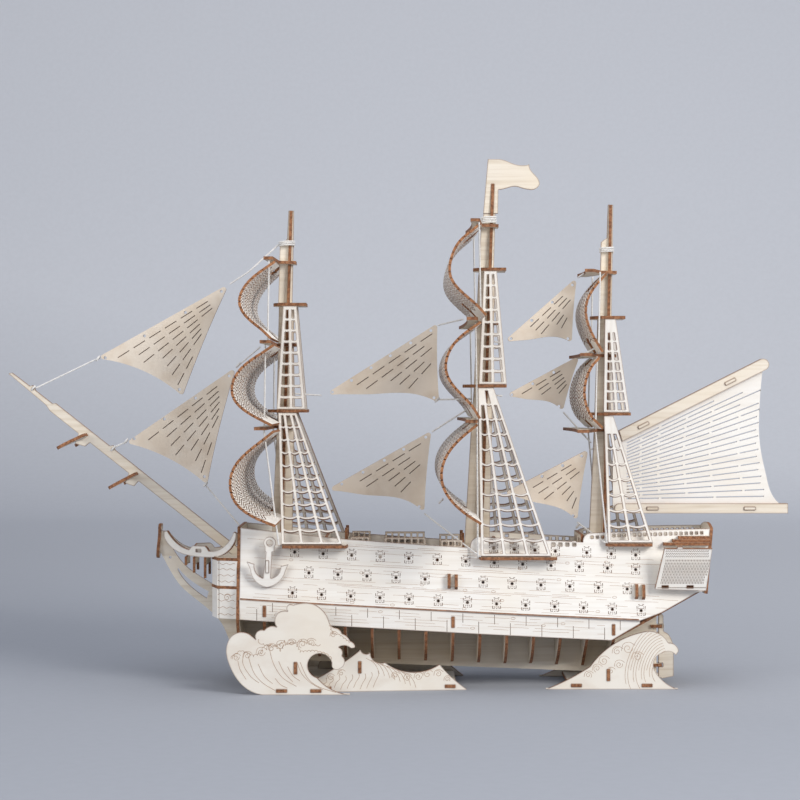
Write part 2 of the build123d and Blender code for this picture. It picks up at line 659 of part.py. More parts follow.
# ---------------------------------------------------------------- fore-and-aft sails
def stay_sail(tack, head, clew, foot_lift, leech_lift, eyelets, foot_wave=0.0):
    """Flat triangular sail with rounded corners and a row of eyelets."""
    def lifted(a, b, lift, share=0.5):
        mx, mz = a[0] + (b[0] - a[0]) * share, a[1] + (b[1] - a[1]) * share
        run = hypot(b[0] - a[0], b[1] - a[1])
        return mx - (b[1] - a[1]) / run * lift, mz + (b[0] - a[0]) / run * lift
    leech = ThreePointArc(head, lifted(head, clew, leech_lift), clew)
    if foot_wave:
        foot = Spline(clew, lifted(clew, tack, -foot_lift, 0.3),
                      lifted(clew, tack, -foot_lift + foot_wave, 0.62),
                      lifted(clew, tack, -foot_lift * 0.3, 0.86), tack)
    else:
        foot = ThreePointArc(clew, lifted(clew, tack, -foot_lift), tack)
    face = make_face([Line(tack, head), leech, foot])
    face = fillet(face.vertices(), 1.6)
    return upright(face - [Pos(x, z) * Circle(HOLE) for x, z in eyelets])


JIB_TACK, JIB_HEAD = (-202.5, 217.2), (-113.4, 267.2)


def outer_jib():
    return stay_sail(JIB_TACK, JIB_HEAD, (-144.6, 192.0), 5.0, -1.0,
                     [(-196.3, 217.6), (-170.0, 232.2), (-142.6, 247.9), (-118.4, 262.0),
                      (-146.6, 196.4)])


def inner_jib():
    return stay_sail((-182.6, 160.6), (-108.6, 211.6), (-128.2, 132.6), 4.0, -1.2,
                     [(-176.9, 163.4), (-156.7, 176.6), (-135.8, 190.6), (-113.4, 205.4),
                      (-129.9, 138.0)])


def fore_staysails():
    """Two sails between the fore and main masts."""
    upper = stay_sail((-50.6, 192.2), (26.2, 240.8), (27.4, 187.0), 5.5, -0.8,
                      [(-44.2, 194.6), (-31.4, 202.4), (-18.3, 210.9), (-5.4, 219.0),
                       (8.3, 227.6), (21.8, 235.8), (23.9, 190.8)], 2.6)
    lower = stay_sail((-48.8, 128.6), (22.2, 168.8), (17.4, 113.6), 6.0, -0.8,
                      [(-37.9, 133.0), (-23.7, 140.9), (-9.4, 148.9), (3.6, 156.3),
                       (18.4, 164.4), (13.9, 117.8)], 3.0)
    return [upper, lower]


def main_staysails():
    """Three sails between the main and mizzen masts."""
    upper = stay_sail((69.4, 227.4), (119.6, 271.6), (116.2, 227.6), 4.2, -0.6,
                      [(75.4, 230.4), (89.3, 242.6), (103.1, 254.8), (116.6, 266.4),
                       (113.6, 230.4)], 2.0)
    middle = stay_sail((70.4, 191.8), (121.8, 219.4), (110.2, 181.6), 4.0, -0.8,
                       [(76.0, 192.8), (90.0, 200.2), (104.1, 207.8), (107.6, 185.0)], 2.0)
    lower = stay_sail((69.4, 126.4), (127.4, 156.4), (119.8, 107.8), 4.4, -0.8,
                      [(96.2, 138.2), (110.0, 145.4), (122.8, 151.8), (117.0, 111.8)], 2.2)
    return [upper, middle, lower]


# ---------------------------------------------------------------- spanker
SPAR_Y = PLY                    # the gaff and boom strips lie against the sail
GAFF_PEGS = ((163.9, 172.4), (221.9, 201.6))
BOOM_PEGS = ((169.9, 116.8), (234.9, 116.8))
PEG = (7.6, PLY)
GAFF_TILT = 26.7


def gaff():
    strip = outline((147.5, 168.8), (242.8, 216.8), ((247.6, 214.6), (245.6, 209.4)), (149.8, 161.6))
    return strip - [Pos(x, z) * Rot(0, 0, GAFF_TILT) * Rectangle(*PEG) for x, z in GAFF_PEGS]


def boom():
    strip = outline((147.8, 120.1), (260.5, 120.1), (260.5, 113.5), (147.8, 113.5),
                    ((144.5, 116.8), (147.8, 120.1)))
    return strip - [Pos(x, z) * Rectangle(*PEG) for x, z in BOOM_PEGS]


def spar_pair(face):
    return [upright(face, SPAR_Y), upright(face, -SPAR_Y)]


def spanker():
    """Driver sail on the mizzen, held between two gaff strips and two boom strips."""
    face = outline((143.6, 115.0), (253.0, 115.0), (254.6, 120.4),
                   ((249.7, 127.0), (246.2, 139.1), (243.2, 152.6), (241.5, 168.0),
                    (241.7, 182.0), (242.6, 197.0), (244.0, 210.0)),
                   (240.6, 212.6), (150.6, 167.0), (143.6, 161.0))
    slots = [Pos(x, z) * Rot(0, 0, GAFF_TILT) * Rectangle(*PEG) for x, z in GAFF_PEGS]
    slots += [Pos(x, z) * Rectangle(*PEG) for x, z in BOOM_PEGS]
    return upright(face - slots)


def spanker_pegs():
    """Short pegs through the strips and the sail."""
    depth = 3 * PLY + 1.6
    pegs = [upright(Pos(x, z) * Rot(0, 0, GAFF_TILT) * Rectangle(*PEG), 0, depth)
            for x, z in GAFF_PEGS]
    return pegs + [upright(Pos(x, z) * Rectangle(*PEG), 0, depth) for x, z in BOOM_PEGS]


# ---------------------------------------------------------------- bowsprit
SPRIT_WINGS = ((-211.0, 164.6), (-177.4, 138.6))


def bowsprit():
    """Long tapering spar board with two lugs under it and eyes for the stays."""
    spar = outline(
        (-260.9, 206.9), (-258.7, 207.6), (-246.8, 198.6), (-244.8, 199.2), (-242.8, 195.6),
        (-231.7, 186.9), (-229.6, 187.2), (-193.4, 158.6), (-191.0, 159.0), (-189.6, 155.8),
        (-112.8, 94.8), (-98.0, 83.0), (-101.9, 78.1), (-174.0, 135.0), (-177.0, 131.6),
        (-183.0, 133.6), (-180.6, 140.3), (-206.6, 160.8), (-210.0, 158.2), (-216.6, 160.2),
        (-214.2, 166.8), (-233.4, 182.0), (-236.0, 185.9))
    eyes = [Pos(-244.6, 197.0) * Circle(0.7), Pos(-191.2, 156.6) * Circle(0.7)]
    return upright(spar - eyes)


def sprit_wings():
    """Gull-winged spars across the underside of the bowsprit, swept forward and down."""
    wings = []
    for x, z in SPRIT_WINGS:
        plane = Plane(origin=(x, 0, z), x_dir=(0, 1, 0), z_dir=(-0.512, 0, 0.859))
        half = outline((0, -3.4), (5.0, -3.0), ((14.0, -2.6), (24.0, 2.6)),
                       ((30.0, 5.4), (36.0, 12.2)), (35.0, 13.4),
                       ((28.0, 9.0), (20.0, 6.4)), ((10.0, 3.4), (0, 3.0)))
        wings.append(extrude(plane * (half + mirror(half, about=Plane.YZ)), amount=PLY / 2,
                             both=True))
    return wings


# ---------------------------------------------------------------- deck furniture
WAIST_RAILS = ((-31.5, -19.0, 99.6), (-9.0, 18.0, 99.2), (28.0, 42.0, 97.6))
WAIST_RAIL_Y = 28.6


def waist_rails():
    """Barrier panels with a grid of lights along both sides of the waist."""
    walls = []
    for x_from, x_to, top in WAIST_RAILS:
        count = round((x_to - x_from) / 4.2)
        pitch = (x_to - x_from - 1.2) / count
        face = Pos((x_from + x_to) / 2, (top + MAIN_DECK) / 2) * Rectangle(x_to - x_from,
                                                                           top - MAIN_DECK)
        lights = [Pos(x_from + 0.6 + pitch * (i + 0.5), top - drop) * Rectangle(pitch - 1.3, 2.4)
                  for i in range(count) for drop in (2.4, 6.2)]
        walls += [upright(face - lights, y) for y in (-WAIST_RAIL_Y, WAIST_RAIL_Y)]
    return walls


def deck_rails():
    """Bitts, breast rails and bulkheads that step between the decks."""
    pieces = []
    for x, high in ((-34.4, 104.6), (42.6, 101.2)):
        arms = Polygon((-15.0, MAIN_DECK), (-15.0, high), (-12.0, high), (-12.0, high - 6.0),
                       (12.0, high - 6.0), (12.0, high), (15.0, high), (15.0, MAIN_DECK),
                       (11.0, MAIN_DECK), (11.0, high - 9.0), (-11.0, high - 9.0),
                       (-11.0, MAIN_DECK), align=None)
        pieces.append(cross(arms, x))
    for x, low, high in ((FORECASTLE_TO + 1.0, MAIN_DECK, FORECASTLE + 3.0),
                         (QUARTER_FROM - 1.0, MAIN_DECK, QUARTER_DECK + 4.0),
                         (POOP_FROM - 1.0, QUARTER_DECK, POOP_DECK + 3.6)):
        wide = half_breadth(x, high) - PLY - 3 * SNUG
        face = Pos(0, (low + high) / 2) * Rectangle(2 * wide, high - low)
        doors = [Pos(y, low + 3.4) * Rectangle(3.2, 4.8) for y in (-17.0, -8.0, 8.0, 17.0)]
        pieces.append(cross(face - doors, x))
    return pieces


# ---------------------------------------------------------------- stand
def outer_wave():
    """Breaking wave with a rounded crest, in a plane parallel to the keel."""
    return outline(
        (-87.3, 0), ((-100.7, 6.7), (-108.1, 18.3), (-110.5, 28.0), (-108.1, 36.5)),
        ((-101.2, 40.2), (-95.3, 38.6)), (-91.3, 35.4), ((-91.0, 40.0), (-86.0, 41.3)),
        ((-82.4, 43.9), (-77.8, 43.4)), ((-79.3, 48.2), (-77.2, 52.5), (-73.5, 53.9), (-70.8, 53.6)),
        ((-71.6, 56.5), (-67.6, 57.6)), ((-59.1, 58.9), (-53.8, 57.9), (-48.5, 54.1),
                                         (-45.3, 49.3), (-43.7, 45.1), (-41.0, 42.9)),
        ((-38.0, 41.9), (-36.2, 39.2)), ((-33.2, 37.6), (-30.9, 34.4)),
        ((-28.6, 33.0), (-27.7, 30.4)), (-30.4, 29.9), ((-34.6, 31.8), (-38.4, 30.6)),
        ((-36.0, 28.4), (-36.3, 25.0)), ((-34.4, 20.4), (-37.2, 17.0)),
        ((-41.0, 16.4), (-42.6, 20.4)), ((-49.4, 26.6), (-57.6, 22.0)),
        ((-57.6, 15.6), (-52.2, 11.0)), ((-43.6, 3.8), (-31.0, 0)))


def inner_wave():
    """Long low wave with a sharp crest ahead and a smaller one astern."""
    return outline(
        (-57.0, 0), (-55.0, 8.0), ((-38.0, 17.5), (-24.8, 27.0)), ((-22.2, 24.4), (-18.6, 24.9)),
        ((-15.6, 19.6), (-8.8, 18.6)), ((9.5, 11.9), (27.0, 16.9)), ((34.7, 8.6), (44.6, 0.6)),
        (44.6, 0))


def aft_wave():
    """Wave under the stern, curling over towards the rudder."""
    return outline(
        (96.6, 0), ((111.0, 6.4), (125.5, 14.8)), ((145.0, 32.0), (160.0, 37.4)),
        ((170.4, 36.6), (176.7, 30.3)), ((181.0, 29.2), (183.4, 25.0)), (181.6, 22.4),
        ((178.0, 24.6), (172.6, 23.6)), ((166.9, 17.4), (168.0, 12.0)),
        ((173.6, 5.2), (182.9, 0)))


def wave_planes():
    turn = Rot(0, 0, INNER_WAVE_TURN)
    outer = upright(outer_wave(), -OUTER_WAVE_Y)
    inner = Pos(0, -INNER_WAVE_Y, 0) * turn * upright(inner_wave())
    aft = upright(aft_wave(), -AFT_WAVE_Y)
    return both_sides(outer), both_sides(inner), both_sides(aft)


def cradle(x, out_low, out_tab, rise, tab_z):
    """Cross plate with a keel notch and arms shaped to stay clear of the ribs."""
    notch = keel_z(x + PLY / 2) - 0.05
    reach = out_tab + PLY / 2 + 0.5
    half = outline((0, 4.0), (out_low, 4.0), (out_low, tab_z - 3.8), (reach, tab_z - 3.8),
                   (reach, tab_z + 3.8), (out_low, tab_z + 3.8), (out_low - 1.5, rise),
                   ((13.0, notch + 2.0), (6.0, notch + 2.6)), (0, notch + 2.6))
    plate = cross(half + mirror(half, about=Plane.YZ), x)
    slack = PLY / 2 + SLOT_GAP
    return plate - block(x - 5, x + 5, -slack, slack, notch, 100)


def stand_pieces():
    """Waves, cross plates and base plates, slotted through each other."""
    outer, inner, aft = wave_planes()
    fore_x, middle_x, aft_x = CROSS_X
    crosses = [cradle(fore_x, OUTER_WAVE_Y - 1, OUTER_WAVE_Y, 21.6, 17.2),
               cradle(middle_x, INNER_WAVE_Y + 1.6, INNER_WAVE_Y + 2.6, 20.4, 15.8),
               cradle(aft_x, AFT_WAVE_Y - 1, AFT_WAVE_Y, 13.6, 9.4)]
    tabs = []
    for x, y in ((-74.9, OUTER_WAVE_Y), (-52.9, OUTER_WAVE_Y)):
        tabs.append(block(x - 3.4, x + 3.4, -y - 1.5, y + 1.5, BASE_Z, BASE_Z + PLY))
    fore_plate = level(mirrored([(-82.0, OUTER_WAVE_Y - 1), (-46.0, OUTER_WAVE_Y - 1),
                                 (-42.0, 36.0), (38.0, 29.0)]), BASE_Z)
    tabs.append(block(30.4, 37.2, -35.0, 35.0, BASE_Z, BASE_Z + PLY))
    fore_base = fore_plate + tabs
    aft_plate = level(mirrored([(112.0, AFT_WAVE_Y - 1), (168.0, AFT_WAVE_Y - 1)]), BASE_Z)
    aft_tabs = [block(x - 3.4, x + 3.4, -AFT_WAVE_Y - 1.5, AFT_WAVE_Y + 1.5, BASE_Z, BASE_Z + PLY)
                for x in (116.5, 162.7)]
    aft_base = aft_plate + aft_tabs
    return outer, inner, aft, crosses, [fore_base, aft_base]


# ---------------------------------------------------------------- rigging
def cord(*points):
    """Taut cord through the given points, in straight runs."""
    runs = []
    for a, b in zip(points, points[1:]):
        run = Vector(*b) - Vector(*a)
        plane = Plane(origin=a, z_dir=run)
        runs.append(extrude(plane * Circle(CORD / 2), amount=run.length))
    return runs


def stays():
    """Taut cords on the centre line, from spar to sail corner to mast."""
    lines = [
        ((-242.6, 197.4), (-202.6, 216.6)), ((-112.9, 267.0), (-100.1, 275.4), (-80.4, 293.4)),
        ((-190.6, 157.6), (-183.0, 161.0)), ((-107.9, 212.0), (-92.6, 224.8)),
        ((-129.0, 132.0), (-106.6, 105.4)), ((-69.4, 193.5), (-51.6, 192.4)),
        ((27.6, 189.6), (49.2, 190.0)), ((26.4, 239.4), (43.4, 243.4)),
        ((22.6, 168.0), (45.2, 182.4)), ((64.2, 228.4), (68.6, 227.6)),
        ((63.4, 192.6), (69.6, 192.0)), ((62.0, 127.4), (68.8, 126.6)),
        ((120.2, 271.2), (124.2, 274.0)), ((110.6, 181.0), (129.0, 160.6)),
        ((122.4, 219.2), (131.8, 224.0)), ((128.0, 155.8), (130.2, 156.6))]
    runs = []
    for line in lines:
        runs += cord(*[(x, 0, z) for x, z in line])
    return runs


def falls():
    """Cords at the sides: yard to yard to channel, and the staysail sheets."""
    runs = cord((-83.6, -46.0, 280.0), (-84.4, -46.0, 227.0))
    for side in (-1, 1):
        runs += cord((-86.0, side * 46.0, 225.0), (-86.6, side * 46.0, 172.4))
        runs += cord((-87.0, side * 46.0, 170.4), (-77.4, side * 43.6, 95.4))
        runs += cord((52.2, side * 46.0, 304.6), (53.4, side * 46.0, 241.6))
        runs += cord((49.9, side * 46.0, 239.6), (50.6, side * 46.0, 198.0),
                     (51.6, side * 42.0, 87.4))
        runs += cord((132.6, side * 25.0, 273.4), (131.6, side * 25.0, 219.8))
        runs += cord((130.6, side * 25.0, 217.8), (129.6, side * 25.0, 170.2))
        runs += cord((129.6, side * 25.0, 168.2), (136.6, side * 30.6, 95.6))
    runs += cord((17.6, -0.6, 113.2), (53.2, -41.6, 87.8))
    runs += cord((119.9, -0.6, 107.4), (135.4, -30.4, 96.0))
    return runs


# ---------------------------------------------------------------- assembly
def build_hull():
    frames = hull_frames()
    front = bow_bulkhead()
    backbone = keel()
    sides = hull_sides()
    bands = lower_bands()
    spar = bowsprit()
    stern = transom()
    boards = [board for mast in MASTS.values()
              for board in (mast.fore_and_aft(), mast.athwart())]
    put("keel", cut(backbone, rudder_gudgeons()))
    put("hull_frames", frames)
    put("bow_bulkhead", cut(front, spar))
    for name, side in zip(("port", "starboard"), sides):
        put("hull_side_" + name, side)
    put("lower_bands", cut(bands, frames, front))
    put("counter_board", cut(counter(), backbone, frames, bands, sides))
    put("main_deck", cut(deck(SKIN_FROM, QUARTER_FROM, MAIN_DECK), boards, spar))
    put("raised_decks", cut(deck(SKIN_FROM, FORECASTLE_TO, FORECASTLE), boards, spar),
        cut(deck(QUARTER_FROM, POOP_FROM, QUARTER_DECK), boards),
        cut(deck(POOP_FROM, 205.0, POOP_DECK), boards, stern))
    put("bow_decks", cut(bow_decks(), backbone, front, spar, bow_panels()))
    put("bow_panels", cut(bow_panels(), backbone, front))
    rails = cut(head_rails(), front, bow_decks(), backbone)
    put("head_rails", rails)
    put("beakhead_boards", cut(figurehead(), backbone),
        cut(beakhead_frames(), backbone, rails, bow_decks()))
    put("transom", cut(stern, sides))
    put("quarter_galleries", cut(galleries(), gallery_floors(), stern, sides))
    put("gallery_boards", cut(gallery_floors(), stern, sides))
    put("rudder", rudder(), rudder_pins())
    put("rudder_gudgeons", rudder_gudgeons())
    put("fenders", fenders())
    put("anchors", anchors(), anchor_pegs())
    put("bowsprit", cut(spar))
    put("sprit_wings", cut(sprit_wings(), spar))
    put("waist_rails", waist_rails())
    put("deck_bulkheads", cut(deck_rails(), boards, nodes["raised_decks"]))


SHROUDS = {
    "fore": ((-75.7, -36.2), (-79.6, -67.6), 3, 10, (-80.6, -61.6), (-76.6, -67.6)),
    "main": ((53.6, 99.3), (52.9, 63.2), 3, 11, (53.5, 71.9), (56.9, 65.5)),
    "mizzen": ((137.2, 166.6), (136.4, 142.6), 2, 8, (136.1, 153.3), (137.4, 144.6)),
}


def build_masts():
    channels, lower, upper, tops = [], [], [], []
    for name, mast in MASTS.items():
        first, second = mast.pair()
        put(name + "_mast", first)
        put(name + "_mast_cross", second)
        (high_z, high_a, high_b), (low_z, low_a, low_b) = mast.tops
        plates = [top_plate(high_z, high_a, high_b, 10.5), top_plate(low_z, low_a, low_b, 14.5)]
        tops += cut(plates, mast.fore_and_aft(), mast.athwart())
        channels += solids_of(channel(*CHANNELS[name]))
        foot, head, columns, rungs, foot_up, head_up = SHROUDS[name]
        rail, out = CHANNELS[name][2] + PLY, CHANNELS[name][3]
        lower += solids_of(ladder(foot, head, (1.6 - out, rail + 0.4), (-12.6, low_z - 0.4),
                                  columns, rungs, 2.0, 1.4, 1.1))
        upper += solids_of(ladder(foot_up, head_up, (-12.8, low_z + PLY + 0.2),
                                  (-9.2, high_z - 0.2), 2, 9, 2.2, 1.8, 0.3))
    put("mast_tops", tops)
    put("channels", channels)
    put("lower_shrouds", lower)
    put("upper_shrouds", upper)


def build_sails():
    ropes = stays() + falls()
    crossing = [ropes, nodes["mast_tops"], nodes["lower_shrouds"], nodes["upper_shrouds"]]
    for name, (mast, rows) in YARDS.items():
        put(name + "_yards", cut([yard(mast, *row) for row in rows], ropes))
        crossing.append(nodes[name + "_yards"])
    for name, (profile, half_top, half_bottom, mast) in SQUARE_SAILS.items():
        put(name, cut(square_sail(profile, half_top, half_bottom, mast), *crossing))
    put("outer_jib", outer_jib())
    put("inner_jib", inner_jib())
    put("fore_staysails", fore_staysails())
    put("main_staysails", main_staysails())
    put("spanker_sail", cut(spanker(), MIZZEN.fore_and_aft(), MIZZEN.athwart()))
    put("gaff", spar_pair(gaff()))
    put("boom", spar_pair(boom()))
    put("spanker_pegs", spanker_pegs())
    put("main_flag", main_flag())
    fixed = [nodes[key] for key in nodes if "sail" not in key and "course" not in key]
    put("rigging", cut(ropes, fixed, nodes["fore_staysails"], nodes["main_staysails"]))


def build_stand():
    outer, inner, aft, crosses, bases = stand_pieces()
    crosses = cut(crosses, bases)
    put("stand_outer_waves", cut(outer, crosses, bases))
    put("stand_inner_waves", cut(inner, crosses, bases))
    put("stand_aft_waves", cut(aft, crosses, bases))
    put("stand_cross_plates", crosses)
    put("stand_base_plates", bases)


build_hull()
build_masts()
build_sails()
build_stand()

for name, pieces in nodes.items():
    shape = pieces[0] if len(pieces) == 1 else Compound(children=pieces)
    shape.label = name
    export_step(shape, f"parts/{name}.step")
print(len(nodes), "nodes")
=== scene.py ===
"""Looks of a wooden ship puzzle: scorched plywood, slit sails, engraving and twisted cords."""
import json
import random
from math import cos, hypot, pi, radians, sin
import bmesh
import bpy
import numpy as np
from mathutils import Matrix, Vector
from mathutils.bvhtree import BVHTree


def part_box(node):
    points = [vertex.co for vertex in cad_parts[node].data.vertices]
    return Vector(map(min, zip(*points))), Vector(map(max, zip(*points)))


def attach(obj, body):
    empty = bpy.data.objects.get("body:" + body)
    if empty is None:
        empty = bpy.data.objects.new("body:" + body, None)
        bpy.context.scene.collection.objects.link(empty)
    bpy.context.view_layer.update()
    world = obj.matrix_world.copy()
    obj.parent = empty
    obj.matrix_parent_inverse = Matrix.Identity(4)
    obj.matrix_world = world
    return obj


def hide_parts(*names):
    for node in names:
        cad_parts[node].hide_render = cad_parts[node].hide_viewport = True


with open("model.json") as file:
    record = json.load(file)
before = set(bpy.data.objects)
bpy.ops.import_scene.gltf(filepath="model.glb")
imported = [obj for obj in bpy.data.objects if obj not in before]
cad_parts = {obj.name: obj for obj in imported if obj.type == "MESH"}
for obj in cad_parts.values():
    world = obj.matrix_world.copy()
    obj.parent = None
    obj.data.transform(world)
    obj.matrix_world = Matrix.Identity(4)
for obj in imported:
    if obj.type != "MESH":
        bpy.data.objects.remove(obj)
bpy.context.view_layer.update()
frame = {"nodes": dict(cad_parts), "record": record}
NODES = frame["nodes"]
MM = 0.001
X, Y, Z = Vector((1, 0, 0)), Vector((0, 1, 0)), Vector((0, 0, 1))


def placed(name, data):
    """New object in the scene."""
    made = bpy.data.objects.new(name, data)
    bpy.context.scene.collection.objects.link(made)
    return made


# ---------------------------------------------------------------- camera
camera = placed("camera", bpy.data.cameras.new("camera"))
camera.location = (0.0011, -1.300, 0.1893)
camera.rotation_euler = (radians(90), 0, 0)
camera.data.lens = 87.3
camera.data.sensor_width = 36.0
camera.data.clip_start = 0.01
bpy.context.scene.camera = camera
bpy.context.scene.view_settings.view_transform = "Standard"


# ---------------------------------------------------------------- materials
FACE = (0.80, 0.735, 0.635)
STREAK = (0.66, 0.575, 0.46)
PALE_FACE = (0.87, 0.85, 0.81)
PALE_STREAK = (0.80, 0.765, 0.71)
CHAR = (0.16, 0.065, 0.032)
CHAR_LIGHT = (0.37, 0.175, 0.085)
BURN = (0.16, 0.068, 0.035)
CHAR_GRAIN = 620.0
WOOD_ROUGHNESS = 0.68


def tree(name):
    """New material with its nodes and links."""
    material = bpy.data.materials.new(name)
    material.use_nodes = True
    return material, material.node_tree.nodes, material.node_tree.links


def noise(nodes, links, vector, scale, detail=3.0):
    made = nodes.new("ShaderNodeTexNoise")
    made.inputs["Scale"].default_value = scale
    made.inputs["Detail"].default_value = detail
    links.new(vector, made.inputs["Vector"])
    return made.outputs["Fac"]


def ramp(nodes, links, value, low, high, at=(0.35, 0.65)):
    made = nodes.new("ShaderNodeValToRGB")
    made.color_ramp.elements[0].position = at[0]
    made.color_ramp.elements[0].color = (*low, 1)
    made.color_ramp.elements[1].position = at[1]
    made.color_ramp.elements[1].color = (*high, 1)
    links.new(value, made.inputs["Fac"])
    return made.outputs["Color"]


def mixed(nodes, links, factor, first, second):
    made = nodes.new("ShaderNodeMix")
    made.data_type = "RGBA"
    links.new(factor, made.inputs["Factor"])
    for value, socket in ((first, made.inputs["A"]), (second, made.inputs["B"])):
        if isinstance(value, tuple):
            socket.default_value = (*value, 1)
        else:
            links.new(value, socket)
    return made.outputs["Result"]


def scaled(nodes, links, value, factor, add=0.0):
    made = nodes.new("ShaderNodeMath")
    made.operation = "MULTIPLY_ADD"
    made.use_clamp = True
    made.inputs[1].default_value = factor
    made.inputs[2].default_value = add
    links.new(value, made.inputs[0])
    return made.outputs["Value"]


def wood_face(nodes, links, place, face, streak, grain):
    """Fine fibres along the sheet over a soft cloudy variation."""
    stretch = nodes.new("ShaderNodeMapping")
    stretch.inputs["Scale"].default_value = grain
    links.new(place.outputs["Object"], stretch.inputs["Vector"])
    fibre = noise(nodes, links, stretch.outputs["Vector"], 1.0, 6.0)
    cloud = noise(nodes, links, place.outputs["Object"], 26.0, 2.0)
    fine = ramp(nodes, links, fibre, streak, face, (0.30, 0.56))
    warm = tuple(c * k for c, k in zip(face, (0.99, 0.955, 0.90)))
    return mixed(nodes, links, scaled(nodes, links, cloud, 2.2, -0.9), fine, warm), fibre


def edge_colour(nodes, links, place):
    """Laser-cut edge: charred glue lines over reddish brown."""
    return ramp(nodes, links, noise(nodes, links, place.outputs["Object"], CHAR_GRAIN),
                CHAR, CHAR_LIGHT, (0.36, 0.66))


def facing(nodes, links, place, axes):
    """1 on the faces of the sheet, 0 on its cut edges."""
    strongest = None
    for axis in axes:
        dot = nodes.new("ShaderNodeVectorMath")
        dot.operation = "DOT_PRODUCT"
        dot.inputs[1].default_value = axis
        links.new(place.outputs["Normal"], dot.inputs[0])
        size = nodes.new("ShaderNodeMath")
        size.operation = "ABSOLUTE"
        links.new(dot.outputs["Value"], size.inputs[0])
        if strongest is None:
            strongest = size.outputs["Value"]
            continue
        larger = nodes.new("ShaderNodeMath")
        larger.operation = "MAXIMUM"
        links.new(strongest, larger.inputs[0])
        links.new(size.outputs["Value"], larger.inputs[1])
        strongest = larger.outputs["Value"]
    return scaled(nodes, links, strongest, 8.0, -5.6)


def ply(name, axes, face=FACE, streak=STREAK, grain=(18.0, 500.0, 500.0), burn=False):
    """Plywood: pale faces, charred edges. With burn, an attribute darkens it to a scorch mark."""
    material, nodes, links = tree(name)
    shader = nodes["Principled BSDF"]
    place = nodes.new("ShaderNodeTexCoord")
    surface, fibre = wood_face(nodes, links, place, face, streak, grain)
    if burn:
        mark = nodes.new("ShaderNodeAttribute")
        mark.attribute_name = "burn"
        colour = mixed(nodes, links, mark.outputs["Fac"], surface, BURN)
    else:
        edge = edge_colour(nodes, links, place)
        colour = mixed(nodes, links, facing(nodes, links, place, axes), edge, surface)
    links.new(colour, shader.inputs["Base Color"])
    shader.inputs["Roughness"].default_value = WOOD_ROUGHNESS
    shader.inputs["Specular IOR Level"].default_value = 0.28
    bump = nodes.new("ShaderNodeBump")
    bump.inputs["Strength"].default_value = 0.25
    bump.inputs["Distance"].default_value = 0.0002
    links.new(fibre, bump.inputs["Height"])
    links.new(bump.outputs["Normal"], shader.inputs["Normal"])
    return material


def char_material(name, low, high, scale=CHAR_GRAIN):
    """Charred wood between two tones."""
    material, nodes, links = tree(name)
    shader = nodes["Principled BSDF"]
    place = nodes.new("ShaderNodeTexCoord")
    colour = ramp(nodes, links, noise(nodes, links, place.outputs["Object"], scale), low, high)
    links.new(colour, shader.inputs["Base Color"])
    shader.inputs["Roughness"].default_value = 0.8
    shader.inputs["Specular IOR Level"].default_value = 0.2
    return material


LYING = (18.0, 500.0, 500.0)      # fibres along the ship
STANDING = (500.0, 500.0, 18.0)   # fibres upright
ACROSS = (500.0, 18.0, 500.0)     # fibres across the ship


# ---------------------------------------------------------------- CAD sheets
SHEETS = {
    # name: (nodes, directions square to the sheets, fibre direction, face, streak)
    "fore_and_aft": (("keel", "fore_mast", "main_mast", "mizzen_mast", "bowsprit", "gaff", "boom",
                      "rudder", "main_flag", "waist_rails", "spanker_pegs"),
                     [(0, 1, 0)], LYING, FACE, STREAK),
    "pale": (("anchors",), [(0, 1, 0)], LYING, PALE_FACE, PALE_STREAK),
    "athwart": (("hull_frames", "bow_bulkhead", "beakhead_boards", "deck_bulkheads",
                 "fore_mast_cross", "main_mast_cross", "mizzen_mast_cross", "stand_cross_plates",
                 "transom", "fenders"), [(1, 0, 0)], STANDING, FACE, STREAK),
    "flat": (("main_deck", "raised_decks", "bow_decks", "gallery_boards", "mast_tops", "channels",
              "fore_yards", "main_yards", "mizzen_yards", "stand_base_plates", "rudder_gudgeons"),
             [(0, 0, 1)], LYING, FACE, STREAK),
    "side": (("hull_side_port", "hull_side_starboard", "lower_bands", "quarter_galleries"),
             [(0, 1, 0)], (9.0, 200.0, 420.0), PALE_FACE, PALE_STREAK),
    "wave": (("stand_outer_waves", "stand_inner_waves", "stand_aft_waves"), [(0, 1, 0)],
             (60.0, 300.0, 110.0), (0.83, 0.79, 0.72), (0.77, 0.71, 0.63)),
    "shroud": (("lower_shrouds", "upper_shrouds"), [(0, 0.95, 0.31), (0, 0.95, -0.31)],
               STANDING, PALE_FACE, PALE_STREAK),
    "head_rail": (("head_rails",), [(-0.462, -0.887, 0), (-0.462, 0.887, 0)], LYING,
                  PALE_FACE, PALE_STREAK),
    "wing": (("sprit_wings",), [(-0.512, 0, 0.859)], ACROSS, FACE, STREAK),
    "counter": (("counter_board",), [(-0.54, 0, 0.84)], ACROSS, FACE, STREAK),
}


def dress(node, material):
    """Give a carried-over CAD node its material."""
    slots = NODES[node].material_slots
    if not slots:
        NODES[node].data.materials.append(material)
    for slot in slots:
        slot.material = material


sheet_of = {}
for name, (members, axes, grain, face, streak) in SHEETS.items():
    plain = ply("ply_" + name, axes, face, streak, grain)
    marked = ply("scorch_" + name, axes, face, streak, grain, burn=True)
    for node in members:
        dress(node, plain)
        sheet_of[node] = ([Vector(axis) for axis in axes], marked)


